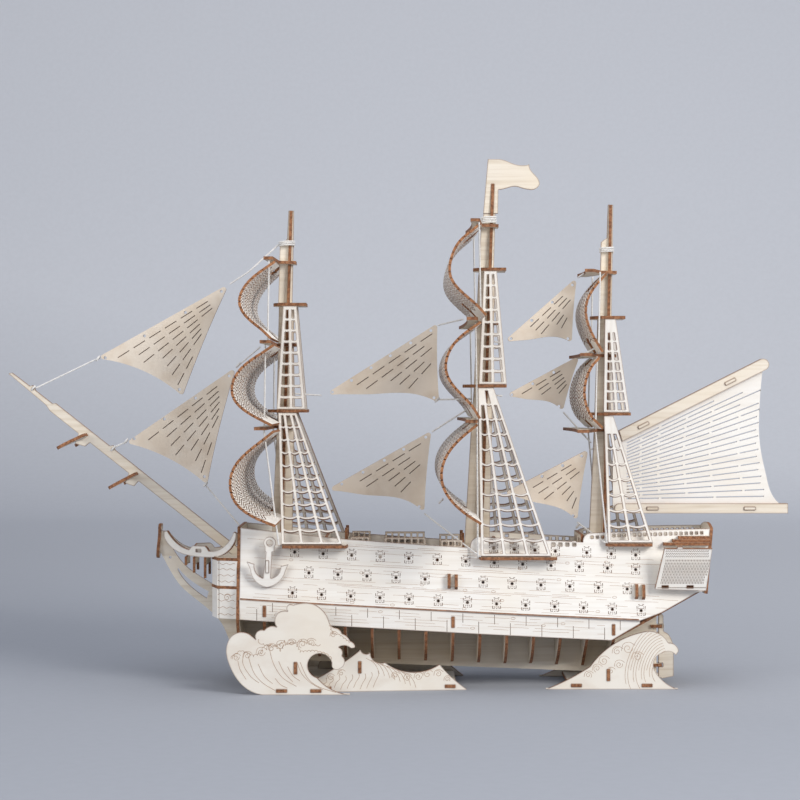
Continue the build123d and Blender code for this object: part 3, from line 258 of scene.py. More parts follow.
def panel_material():
    """Upright bow panels: every side face is a sheet face, top and bottom are cut edges."""
    material, nodes, links = tree("ply_bow_panels")
    shader = nodes["Principled BSDF"]
    place = nodes.new("ShaderNodeTexCoord")
    surface, _ = wood_face(nodes, links, place, PALE_FACE, PALE_STREAK, (60.0, 60.0, 420.0))
    edge = edge_colour(nodes, links, place)
    colour = mixed(nodes, links, facing(nodes, links, place, [(0, 0, 1)]), surface, edge)
    links.new(colour, shader.inputs["Base Color"])
    shader.inputs["Roughness"].default_value = WOOD_ROUGHNESS
    return material


dress("bow_panels", panel_material())


def body_of(node):
    """Name of the body that a CAD node belongs to."""
    return next(name for name, members in frame["record"]["behaviour"]["bodies"].items()
                if node in members)


def piece(name, vertices, faces, material, body, burn=None):
    """One mesh piece that rides on a CAD body."""
    mesh = bpy.data.meshes.new(name)
    mesh.from_pydata([tuple(v) for v in vertices], [], faces)
    if burn is not None:
        attribute = mesh.attributes.new("burn", "FLOAT", "POINT")
        attribute.data.foreach_set("value", burn)
    mesh.materials.append(material)
    made = placed(name, mesh)
    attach(made, body)
    return made


def welded(node):
    """Copy of a CAD node's mesh with its doubled vertices joined."""
    mesh = bmesh.new()
    mesh.from_mesh(NODES[node].data)
    bmesh.ops.remove_doubles(mesh, verts=mesh.verts, dist=2e-6)
    mesh.normal_update()
    return mesh


# ---------------------------------------------------------------- scorched outlines
SCORCH_WIDTH = 0.75 * MM
SCORCH_LIFT = 0.03 * MM
SCORCH_INNER = 0.45                # share of the width that stays darker
SCORCH_BURN = [0.75, 0.75, 0.28, 0.28, 0.0, 0.0]
SAME_FACE = 0.75                   # cosine above which an edge is no cut line
SHEET_FACE = 0.8                   # cosine above which a face is a sheet face
SLIVER = 2e-5
UNSCORCHED = ("keel", "hull_frames", "rudder_gudgeons", "counter_board")


def scorch_outline(node):
    """The laser leaves a brown halo along every cut line on both faces of a sheet."""
    axes, material = sheet_of[node]
    mesh = welded(node)
    vertices, faces, burn = [], [], []
    for edge in mesh.edges:
        if len(edge.link_faces) != 2:
            continue
        if edge.link_faces[0].normal.dot(edge.link_faces[1].normal) > SAME_FACE:
            continue
        for face in edge.link_faces:
            if max(abs(face.normal.dot(axis)) for axis in axes) < SHEET_FACE:
                continue
            a, b = edge.verts[0].co, edge.verts[1].co
            along = (b - a).normalized()
            third = next(v.co for v in face.verts if v not in edge.verts)
            inward = third - a
            inward = inward - along * inward.dot(along)
            if inward.length < SLIVER:
                continue
            inward = inward.normalized() * SCORCH_WIDTH
            lift = face.normal * SCORCH_LIFT
            first = len(vertices)
            vertices += [a + lift, b + lift, b + lift + inward * SCORCH_INNER,
                         a + lift + inward * SCORCH_INNER,
                         b + lift * 0.7 + inward, a + lift * 0.7 + inward]
            burn += SCORCH_BURN
            turn = (b - a).cross(inward).dot(face.normal) > 0
            for quad in ((0, 1, 2, 3), (3, 2, 4, 5)):
                order = quad if turn else quad[::-1]
                faces.append(tuple(first + k for k in order))
    mesh.free()
    if faces:
        made = piece("scorch_" + node, vertices, faces, material, body_of(node), burn)


for node in sheet_of:
    if node not in UNSCORCHED:
        scorch_outline(node)

# ---------------------------------------------------------------- square sails
SAIL_FACE = (0.91, 0.885, 0.84)
SAIL_STREAK = (0.85, 0.81, 0.75)
SAIL_THICK = 1.7 * MM
SLIT = 0.80 * MM
SLIT_SCORCH = 0.22 * MM
ROW_PITCH = 2.25 * MM
WAVE_HEIGHT = 1.75 * MM
WAVE_LENGTH = 44.0 * MM
STEPS_PER_WAVE = 16
BRIDGE_STEP = 4                    # the step in each wave where a slit stays closed
WAVE_PHASE = 0.25
SLIT_BURN = 0.6
HEAD_MARGIN, FOOT_MARGIN = 6.0 * MM, 9.0 * MM
MAST_GAP = 9.0 * MM
sail_edge = char_material("sail_edge", (0.20, 0.085, 0.04), (0.40, 0.19, 0.09))
sail_face = ply("sail_face_wood", [], SAIL_FACE, SAIL_STREAK, ACROSS, burn=True)


def tree_of(node):
    """Ray-casting tree of a CAD node."""
    mesh = welded(node)
    found = BVHTree.FromBMesh(mesh)
    mesh.free()
    return found


def zigzag(t):
    """Rounded chevron wave of unit height."""
    return (sin(t * 2 * pi) - 0.11 * sin(t * 6 * pi)) / 1.1


def smooth_fit(zs, values, degree):
    """Polynomial through the readings, refitted without the ones that hit a notch."""
    zs, values = np.array(zs), np.array(values)
    middle, reach = zs.mean(), np.ptp(zs) / 2
    keep = np.ones(len(zs), bool)
    for _ in range(4):
        fit = np.polyfit((zs[keep] - middle) / reach, values[keep], degree)
        error = np.abs(np.polyval(fit, (zs - middle) / reach) - values)
        keep = error < max(np.median(error[keep]) * 3.0, 0.15 * MM)
    return lambda z: float(np.polyval(fit, (z - middle) / reach))


def sail_profile(node):
    """Points of the outer skin from head to foot, with the half width at each."""
    skin = tree_of(node)
    low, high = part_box(node)
    heights, fronts, halves = [], [], []
    count = 80
    for i in range(count + 1):
        z = high[2] - 0.3 * MM - (high[2] - low[2] - 0.6 * MM) * i / count
        found = []
        for share in (0.16, 0.3, 0.42, 0.54):
            hit = skin.ray_cast(Vector((low[0] - 0.05, share * high[1], z)), X)[0]
            if hit is not None:
                found.append(hit[0])
        if not found:
            continue
        side = skin.ray_cast(Vector((min(found) + 0.8 * MM, low[1] - 0.05, z)), Y)[0]
        if side is None:
            continue
        heights.append(z)
        fronts.append(min(found))
        halves.append(-side[1])
    front, half = smooth_fit(heights, fronts, 7), smooth_fit(heights, halves, 3)
    ends = (high[2] - 0.2 * MM, low[2] + 0.2 * MM)
    levels = [ends[0] + (ends[1] - ends[0]) * k / 70 for k in range(71)]
    return [(front(z), z, half(z)) for z in levels]


def along_profile(rows):
    """Lookup of a sail profile by distance from the head, and its whole length."""
    lengths = [0.0]
    for (xa, za, _), (xb, zb, _) in zip(rows, rows[1:]):
        lengths.append(lengths[-1] + hypot(xb - xa, zb - za))
    xs, zs, halves = zip(*rows)

    def at(s):
        return (np.interp(s, lengths, xs), np.interp(s, lengths, zs),
                np.interp(s, lengths, halves))
    return at, lengths[-1]


def square_sail(node, mast):
    """Sheet with rows of chevron slits, so that it bends; strips meet only at small bridges."""
    at, length = along_profile(sail_profile(node))
    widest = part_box(node)[1][1]
    mast_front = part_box(mast)[0][0]
    waves = 2 * widest / WAVE_LENGTH
    columns = int(round(waves * STEPS_PER_WAVE / 2)) * 2
    row_count = int((length - HEAD_MARGIN - FOOT_MARGIN) / ROW_PITCH)
    pitch = (length - HEAD_MARGIN - FOOT_MARGIN) / row_count

    def point(s, t):
        x, z, half = at(min(max(s, 0.0), length))
        return Vector((x, t * half, z))

    def boundary(row, column):
        """Height of a slit row and how far it is open there."""
        t = 2 * column / columns - 1
        s = HEAD_MARGIN + row * pitch + WAVE_HEIGHT * zigzag(t * waves / 2 + WAVE_PHASE)
        shift = 0 if row % 2 else STEPS_PER_WAVE // 2
        shut = (column + shift) % STEPS_PER_WAVE == BRIDGE_STEP
        if column in (0, columns):
            shut = row % 2 == 0
        return s, t, 0.0 if shut else SLIT / 2

    vertices, faces, burn = [], [], []
    for strip in range(row_count + 2):
        first = len(vertices)
        for column in range(columns + 1):
            t = 2 * column / columns - 1
            if strip == 0:
                top = 0.0
            else:
                s, _, gap = boundary(strip - 1, column)
                top = s + gap
            if strip == row_count + 1:
                bottom = length
            else:
                s, _, gap = boundary(strip, column)
                bottom = s - gap
            steps = (top, top + SLIT_SCORCH, bottom - SLIT_SCORCH, bottom)
            vertices += [point(s, t) for s in steps]
            burn += [SLIT_BURN if strip else 0.0, 0.0, 0.0,
                     SLIT_BURN if strip <= row_count else 0.0]
        for column in range(columns):
            a = first + 4 * column
            middle = sum((vertices[k] for k in (a, a + 3, a + 4, a + 7)), Vector()) / 4
            if abs(middle.y) < MAST_GAP and middle.x > mast_front - 1.0 * MM:
                continue
            faces += [(a + k, a + k + 1, a + k + 5, a + k + 4) for k in range(3)]
    made = piece(node + "_slit_sheet", vertices, faces, sail_face, body_of(node), burn)
    made.data.materials.append(sail_edge)
    mesh = bmesh.new()
    mesh.from_mesh(made.data)
    bmesh.ops.remove_doubles(mesh, verts=mesh.verts, dist=5e-6)
    mesh.normal_update()
    for face in mesh.faces:
        if face.normal.x > 0:
            face.normal_flip()
    mesh.to_mesh(made.data)
    mesh.free()
    solid = made.modifiers.new("sheet", "SOLIDIFY")
    solid.thickness = SAIL_THICK
    solid.offset = -1.0
    solid.material_offset_rim = 1
    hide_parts(node)


SQUARE_SAILS = {"fore_topgallant_sail": "fore_mast", "fore_topsail": "fore_mast",
                "fore_course": "fore_mast", "main_topgallant_sail": "main_mast",
                "main_topsail": "main_mast", "main_course": "main_mast",
                "mizzen_topgallant_sail": "mizzen_mast", "mizzen_topsail": "mizzen_mast"}
for node, mast in SQUARE_SAILS.items():
    square_sail(node, mast)

# ---------------------------------------------------------------- flat sails
flat_sail_wood = ply("flat_sail", [(0, 1, 0)], (0.81, 0.72, 0.61), (0.71, 0.60, 0.48),
                     (80.0, 300.0, 80.0))
spanker_wood = ply("spanker", [(0, 1, 0)], PALE_FACE, PALE_STREAK, (16.0, 300.0, 220.0))
# Near-black cut marks: the char of the cut walls plus painted shade for the open slits.
slit_char_and_painted_shade = char_material("slit_char_and_painted_shade", (0.045, 0.028, 0.02), (0.13, 0.08, 0.055), 700.0)
PLATE_THICK = 2.0 * MM
CUT_LEVEL = 1.05 * MM              # distance of the drawn cuts from the middle of the sheet
CUT_WIDTH = 0.55 * MM
CUT_MARGIN = 1.6 * MM
SMALLEST_SAIL = 2e-4               # square metres, smaller outlines are eyelets


def front_loops(node):
    """Closed outlines of the port face of each upright sheet in a node, as (x, z) points."""
    mesh = welded(node)
    front = {face.index for face in mesh.faces if face.normal.y < -0.9}
    follow = {}
    for edge in mesh.edges:
        sides = [face.index in front for face in edge.link_faces]
        if sides.count(True) == 1 and len(sides) == 2:
            a, b = edge.verts
            follow.setdefault(a.index, []).append(b.index)
            follow.setdefault(b.index, []).append(a.index)
    place = {v.index: (v.co.x, v.co.z) for v in mesh.verts}
    mesh.free()
    loops, seen = [], set()
    for start in sorted(follow):
        if start in seen:
            continue
        loop, here, before = [start], start, None
        seen.add(start)
        while True:
            onward = [k for k in follow[here] if k != before and k not in seen]
            if not onward:
                break
            before, here = here, onward[0]
            seen.add(here)
            loop.append(here)
        if len(loop) > 2:
            loops.append([place[k] for k in loop])
    return loops


def area(loop):
    """Signed area inside a closed outline."""
    return sum(xa * zb - xb * za for (xa, za), (xb, zb) in zip(loop, loop[1:] + loop[:1])) / 2


def inside(point, loop):
    """Whether a point lies within a closed outline."""
    x, z = point
    crossings = 0
    for (xa, za), (xb, zb) in zip(loop, loop[1:] + loop[:1]):
        if (za > z) != (zb > z) and x < xa + (z - za) / (zb - za) * (xb - xa):
            crossings += 1
    return crossings % 2 == 1


def slot_loop(a, b, width):
    """Narrow slot from a to b with rounded ends."""
    run = hypot(b[0] - a[0], b[1] - a[1])
    ux, uz = (b[0] - a[0]) / run, (b[1] - a[1]) / run
    points = []
    for centre, turn in ((b, -pi / 2), (a, pi / 2)):
        for k in range(5):
            angle = turn + pi * k / 4
            dx, dz = cos(angle) * width / 2, sin(angle) * width / 2
            points.append((centre[0] + ux * dx - uz * dz, centre[1] + uz * dx + ux * dz))
    return points


def plate(name, loops, body, material):
    """Upright sheet from closed outlines; inner outlines are holes."""
    curve = bpy.data.curves.new(name, "CURVE")
    curve.dimensions = "2D"
    curve.fill_mode = "BOTH"
    curve.extrude = PLATE_THICK / 2
    for loop in loops:
        spline = curve.splines.new("POLY")
        spline.points.add(len(loop) - 1)
        for point, (x, z) in zip(spline.points, loop):
            point.co = (x, z, 0, 1)
        spline.use_cyclic_u = True
    holder = placed(name + "_outline", curve)
    mesh = bpy.data.meshes.new_from_object(holder.evaluated_get(
        bpy.context.evaluated_depsgraph_get()))
    bpy.data.objects.remove(holder)
    mesh.name = name
    for vertex in mesh.vertices:
        x, z, depth = vertex.co
        vertex.co = (x, -depth, z)
    mesh.materials.clear()
    mesh.materials.append(material)
    made = placed(name, mesh)
    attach(made, body)
    return made


def dash_lines(shell, rows, dash, gap, fan, margin):
    """Staggered dashes that fan out from the head of a three-cornered sail."""
    tack = min(shell, key=lambda p: p[0])
    head = max(shell, key=lambda p: p[1])
    clew = max(shell, key=lambda p: hypot(p[0] - tack[0], p[1] - tack[1])
               + 1.3 * hypot(p[0] - head[0], p[1] - head[1]))
    dashes = []
    for row in range(1, rows + 1):
        share = row / (rows + 0.7)
        a = [t + (c - t) * share for t, c in zip(tack, clew)]
        b = [h + (c - h) * share * fan for h, c in zip(head, clew)]
        run = hypot(b[0] - a[0], b[1] - a[1])
        ux, uz = (b[0] - a[0]) / run, (b[1] - a[1]) / run
        s = -run * 0.3 + (dash + gap) * (0.5 if row % 2 else 0.0)
        while s < run * 1.3:
            ends = [(a[0] + ux * k, a[1] + uz * k) for k in (s, s + dash)]
            probe = [(a[0] + ux * k + uz * side, a[1] + uz * k - ux * side)
                     for k in (s - margin, s + dash + margin) for side in (-margin, margin)]
            if all(inside(p, shell) for p in probe):
                dashes.append(ends)
            s += dash + gap
    return dashes


def dash_marks(name, dashes, node, width):
    """Dark ribbons on both faces of an upright sail where the cuts are: charred cut walls with
    painted shade for the open slit, as the sheet is not cut through.
    """
    vertices, faces = [], []
    for (ax, az), (bx, bz) in dashes:
        run = hypot(bx - ax, bz - az)
        nx, nz = -(bz - az) / run * width / 2, (bx - ax) / run * width / 2
        for y in (-CUT_LEVEL, CUT_LEVEL):
            first = len(vertices)
            vertices += [(ax + nx, y, az + nz), (bx + nx, y, bz + nz),
                         (bx - nx, y, bz - nz), (ax - nx, y, az - nz)]
            order = (0, 1, 2, 3) if y > 0 else (3, 2, 1, 0)
            faces.append(tuple(first + k for k in order))
    made = piece(name, vertices, faces, slit_char_and_painted_shade, body_of(node))


def flat_sail(node, rows, dash, gap, fan):
    """The sails of a node, outline and eyelets from the sheet, with fanned rows of cuts drawn as
    dark marks with painted shade.
    """
    loops = front_loops(node)
    shells = [loop for loop in loops if abs(area(loop)) > SMALLEST_SAIL]
    holes = [loop for loop in loops if abs(area(loop)) <= SMALLEST_SAIL]
    for number, shell in enumerate(shells):
        own = [hole for hole in holes if inside(hole[0], shell)]
        sail = plate(f"{node}_sheet_{number}", [shell] + own, body_of(node), flat_sail_wood)
        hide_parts(node)
        dash_marks(f"{node}_cuts_{number}",
                   dash_lines(shell, rows, dash, gap, fan, CUT_MARGIN), node, CUT_WIDTH)


# node, rows of cuts, cut length, gap between cuts, how far the rows fan out
FLAT_SAILS = (("outer_jib", 7, 9.0 * MM, 3.4 * MM, 0.42),
              ("inner_jib", 7, 9.0 * MM, 3.4 * MM, 0.40),
              ("fore_staysails", 7, 9.5 * MM, 3.4 * MM, 0.66),
              ("main_staysails", 6, 8.0 * MM, 3.0 * MM, 0.60))
for node, rows, dash, gap, fan in FLAT_SAILS:
    flat_sail(node, rows, dash, gap, fan)

SPANKER_LINES = 19
SPANKER_LUFF_X, SPANKER_LEECH_X = 152.0 * MM, 250.0 * MM
SPANKER_FOOT = 121.8 * MM
SPANKER_LUFF, SPANKER_LEECH = 39.0 * MM, 86.5 * MM
SPANKER_HOLLOW = 7.0 * MM          # how far the after edge curves in
SPANKER_SLOT = 0.75 * MM
SPANKER_BRIDGE = 0.012             # half a bridge, as a share of the line
SPANKER_BREAKS = ([0.0, 0.24, 0.62, 0.97], [0.0, 0.11, 0.43, 0.83, 0.985])


def spanker():
    """Driver sail: fanned lines of long slots, their bridges alternating from line to line."""
    loops = front_loops("spanker_sail")
    shell = max(loops, key=lambda loop: abs(area(loop)))
    holes = [loop for loop in loops if loop is not shell]
    slots = []
    for line in range(SPANKER_LINES):
        share = (line + 0.7) / SPANKER_LINES
        left = (SPANKER_LUFF_X, SPANKER_FOOT + share * SPANKER_LUFF)
        right = (SPANKER_LEECH_X - SPANKER_HOLLOW * sin(share * pi) ** 0.7,
                 SPANKER_FOOT + share * SPANKER_LEECH)
        stops = SPANKER_BREAKS[line % 2]
        for a, b in zip(stops, stops[1:]):
            ends = []
            for k in (a + SPANKER_BRIDGE, b - SPANKER_BRIDGE):
                ends.append((left[0] + (right[0] - left[0]) * k,
                             left[1] + (right[1] - left[1]) * k))
            if all(inside(p, shell) for p in ends):
                slots.append(slot_loop(*ends, SPANKER_SLOT))
    sail = plate("spanker_slotted", [shell] + holes + slots, body_of("spanker_sail"),
                 spanker_wood)
    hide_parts("spanker_sail")


spanker()

# ---------------------------------------------------------------- engraving
engraved_line = char_material("engraved_line", (0.36, 0.22, 0.14), (0.52, 0.36, 0.25), 400.0)
engraved_dark = char_material("engraved_dark", (0.10, 0.055, 0.035), (0.20, 0.11, 0.07), 400.0)
wale_brown = char_material("wale_brown", (0.20, 0.10, 0.06), (0.36, 0.20, 0.12), 300.0)
LIFT = 0.06 * MM
OUTSIDE = 0.25                     # metres, beyond the widest part of the ship
HULL_ROWS = [2.2, 4.4, 8.6, 12.2, 14.0, 16.0, 21.6, 23.6, 27.4, 29.6, 34.6, 36.4, 39.4]
BAND_ROWS = [-2.6, -4.6, -6.4, -8.4, -10.2]
BAND_SEAM_PITCH = 10.3
skins = {}


class Engraver:
    """Collects thin lines projected along Y onto one CAD sheet, and makes one piece of them."""

    def __init__(self, node, side, material, name):
        if node not in skins:
            skins[node] = tree_of(node)
        self.skin, self.side, self.material, self.node = skins[node], side, material, node
        self.name = name
        self.vertices, self.faces = [], []

    def drop(self, x, z):
        """Where a point, in millimetres, lands on the sheet."""
        origin = Vector((x * MM, self.side * OUTSIDE, z * MM))
        hit = self.skin.ray_cast(origin, Y * -self.side)
        if hit[0] is None:
            return None
        return hit[0] + hit[1] * LIFT

    def line(self, points, width=0.30, closed=False):
        """A line through (x, z) points, in millimetres."""
        if closed:
            points = points + points[:1]
        pairs = []
        for i, (x, z) in enumerate(points):
            ax, az = points[max(i - 1, 0)]
            bx, bz = points[min(i + 1, len(points) - 1)]
            if closed and i in (0, len(points) - 1):
                ax, az = points[-2]
                bx, bz = points[1]
            run = hypot(bx - ax, bz - az) or 1.0
            nx, nz = -(bz - az) / run * width / 2, (bx - ax) / run * width / 2
            pairs.append((self.drop(x + nx, z + nz), self.drop(x - nx, z - nz)))
        for (a, b), (c, d) in zip(pairs, pairs[1:]):
            if None in (a, b, c, d) or abs(a.y - c.y) > 2 * MM:
                continue
            first = len(self.vertices)
            self.vertices += [a, b, d, c]
            self.faces.append((first, first + 1, first + 2, first + 3))

    def finish(self):
        """Make the piece."""
        if self.faces:
            made = piece(self.name, self.vertices, self.faces, self.material, body_of(self.node))


def curve_points(start, *steps, count=10):
    """Smooth run through points, Catmull-Rom."""
    points = [start, *steps]
    padded = [points[0]] + points + [points[-1]]
    found = []
    for p0, p1, p2, p3 in zip(padded, padded[1:], padded[2:], padded[3:]):
        for k in range(count):
            t = k / count
            found.append(tuple(
                0.5 * (2 * b + (c - a) * t + (2 * a - 5 * b + 4 * c - d) * t * t
                       + (3 * b - a - 3 * c + d) * t ** 3)
                for a, b, c, d in zip(p0, p1, p2, p3)))
    return found + [points[-1]]


def wale_z(x):
    """The wale drops towards the stern, as in the model."""
    return 59.4 - 0.0535 * (x + 104.5)


def port_rows():
    """Middles of the gun ports, row by row."""
    lowest = [-68.8 + 18.95 * i for i in range(13)]
    middle = [-58.2 + 18.9 * i for i in range(12) if i != 5]
    upper = [-67.6 + 18.6 * i for i in range(13)]
    aft = [62.3 + 13.5 * i for i in range(4)] + [123.5 + 16.2 * i for i in range(3)]
    return [[(x, wale_z(x) + rise) for x in row]
            for row, rise in ((lowest, 6.4), (middle, 19.8), (upper, 32.6), (aft, 42.0))]


def gun_port(pen, x, z):
    """Lid, frame corners and hinge marks around a port hole."""
    pen.line([(x - 2.0, z + 1.3), (x - 1.2, z + 3.3), (x + 1.2, z + 3.3), (x + 2.0, z + 1.3)],
             0.30, True)
    for side in (-1, 1):
        pen.line([(x + side * 2.7, z + 1.2), (x + side * 2.7, z + 2.9)], 0.42)
        pen.line([(x + side * 2.6, z - 1.2), (x + side * 2.6, z - 3.1)], 0.42)
        pen.line([(x + side * 2.9, z + 0.4), (x + side * 2.2, z + 0.4)], 0.35)
        pen.line([(x + side * 1.9, z + 3.9), (x + side * 0.9, z + 3.9)], 0.35)
        pen.line([(x + side * 2.2, z - 3.0), (x + side * 1.2, z - 3.0)], 0.35)
        pen.line([(x + side * 1.3, z - 1.5), (x + side * 1.3, z - 2.4)], 0.28)
    pen.line([(x - 0.5, z - 3.0), (x + 0.5, z - 3.0)], 0.35)
    pen.line([(x - 0.6, z - 1.9), (x + 0.6, z - 1.9)], 0.25)


def knot(pen, x, z, size):
    """Small oval knot in the grain."""
    ring = [(x + size * 1.6 * cos(a), z + size * 0.8 * sin(a))
            for a in (k * pi / 4 for k in range(8))]
    pen.line(ring, 0.22, True)


def plank_lines(pen, x_from, x_to, base, rows, rng):
    """Broken grain lines parallel to the wale, with a knot here and there."""
    for rise in rows:
        x = x_from + rng.uniform(0, 20)
        while x < x_to:
            length = rng.uniform(7, 34)
            end = min(x + length, x_to)
            if end - x > 3:
                count = max(int((end - x) / 4), 1)
                pen.line([(x + (end - x) * k / count,
                           base(x + (end - x) * k / count) + rise + 0.12 * sin(k * 1.7))
                          for k in range(count + 1)], 0.16)
            if rng.random() < 0.16 and end + 4 < x_to:
                knot(pen, end + 2.2, base(end) + rise, 0.9)
                end += 4.4
            x = end + rng.uniform(3, 26)


for side, label in ((-1, "port"), (1, "starboard")):
    rng = random.Random(7 if side < 0 else 11)
    node = "hull_side_" + label
    fine = Engraver(node, side, engraved_line, "plank_lines_" + label)
    plank_lines(fine, -101, 196, wale_z, HULL_ROWS, rng)
    for height in (13.2, 26.2, 38.4):
        fine.line([(x, wale_z(x) + height) for x in range(-40, 118, 6)], 0.18)
    fine.finish()
    dark = Engraver(node, side, engraved_dark, "gun_ports_" + label)
    for row in port_rows():
        for x, z in row:
            gun_port(dark, x, z)
    dark.finish()
    wale = Engraver(node, side, wale_brown, "wale_line_" + label)
    wale.line([(x, wale_z(x) + 0.55) for x in range(-103, 158, 4)], 0.8)
    wale.finish()
    seams = Engraver("lower_bands", side, engraved_dark, "band_seams_" + label)
    grain = Engraver("lower_bands", side, engraved_line, "band_lines_" + label)
    x, row = -92.0, 0
    while x < 150.0:
        top, foot = wale_z(x) - 0.8, 46.4 - 0.0576 * (x + 104.5)
        middle = (top + foot) / 2
        if row % 2:
            seams.line([(x, top), (x, middle + 0.4)], 0.34)
        else:
            seams.line([(x, middle + 1.6), (x, foot + 0.4)], 0.34)
        x += BAND_SEAM_PITCH
        row += 1
    plank_lines(grain, -101, 140, wale_z, BAND_ROWS, rng)
    seams.finish()
    grain.finish()


def spiral(x, z, radius, turns=1.4, start=0.0, hand=1):
    """Curl that winds in towards its middle."""
    count = int(14 * turns)
    return [(x + radius * (1 - 0.8 * k / count) * cos(start + hand * 2 * pi * turns * k / count),
             z + radius * (1 - 0.8 * k / count) * sin(start + hand * 2 * pi * turns * k / count))
            for k in range(count + 1)]


def swell(pen, x, z, radii, first, last, width=0.28):
    """Flow lines round the barrel of a wave, between two directions in degrees."""
    for number, radius in enumerate(radii):
        reach = (last - first) * (1.0 - 0.16 * (number % 3))
        steps = max(int(radius * abs(reach) / 90), 8)
        run = []
        for k in range(steps + 1):
            angle = radians(first + reach * k / steps)
            drift = radius * (1 + 0.03 * sin(4 * angle))
            run.append((x + drift * cos(angle), z + drift * sin(angle)))
        pen.line(run, width)


OUTER_CURLS = ((-88.0, 27.4, 2.6), (-81.5, 30.0, 2.4), (-97.0, 25.2, 2.2), (-75.4, 32.0, 2.4),
               (-61.5, 32.6, 2.6), (-56.0, 33.6, 2.2), (-104.0, 24.0, 2.0), (-41.6, 38.6, 1.8),
               (-68.6, 33.4, 2.0))
INNER_CURLS = ((13.0, 9.2, 2.2), (19.0, 10.6, 2.4), (26.0, 10.8, 2.2), (6.0, 8.6, 2.0),
               (-2.0, 10.0, 2.0), (32.0, 7.2, 1.8), (-44.0, 9.6, 1.8), (-37.0, 12.2, 1.8))
AFT_CURLS = ((150.1, 26.8, 3.2), (143.2, 24.9, 2.6), (156.3, 21.1, 2.8), (134.4, 18.6, 2.6),
             (130.0, 13.6, 2.4), (124.4, 9.3, 2.2), (144.4, 16.2, 2.4), (139.0, 12.0, 2.0))


def curls(pen, spots):
    """Spirals of spray, each under a small crest."""
    for number, (x, z, size) in enumerate(spots):
        pen.line(spiral(x, z, size, 1.3, number * 1.1, 1 if number % 2 else -1), 0.28)
        pen.line(curve_points((x - size * 1.3, z - size * 0.5), (x - size * 0.9, z + size * 0.9),
                              (x + size * 0.4, z + size * 1.25), (x + size * 1.5, z + size * 0.6),
                              count=4), 0.26)


def scallops(pen, path, bulge, step=2.1):
    """Little half circles of foam along a broken line."""
    for (ax, az), (bx, bz) in zip(path, path[1:]):
        run = hypot(bx - ax, bz - az)
        count = max(int(run / step), 1)
        ux, uz = (bx - ax) / run, (bz - az) / run
        size = run / count
        for k in range(count):
            arc = []
            for turn in range(7):
                angle = pi * turn / 6
                along = size * (k + 0.5 - 0.5 * cos(angle))
                out = bulge * size * 0.42 * sin(angle)
                arc.append((ax + ux * along - uz * out, az + uz * along + ux * out))
            pen.line(arc, 0.28)


OUTER_FLOW = (
    ((-98.6, 27.3), (-99.8, 20.5), (-95.2, 12.4), (-89.5, 7.8)),
    ((-96.3, 25.0), (-92.9, 14.7), (-87.1, 7.8), (-79.1, 2.9)),
    ((-83.1, 31.9), (-80.3, 20.5), (-74.5, 11.3), (-65.4, 5.5)),
    ((-76.8, 21.6), (-73.4, 14.7), (-67.7, 8.4)),
    ((-64.8, 20.5), (-61.9, 13.6), (-56.2, 7.8), (-48.2, 3.2)),
    ((-71.1, 18.2), (-67.7, 12.4), (-63.1, 9.0)), ((-79.1, 10.7), (-75.7, 6.7), (-71.1, 4.4)),
    ((-63.0, 21.0), (-58.5, 11.3), (-51.6, 5.5), (-40.1, 1.6)),
    ((-103.0, 22.0), (-101.4, 16.0), (-97.6, 10.0)), ((-90.0, 20.0), (-86.0, 12.0), (-80.6, 7.2)))


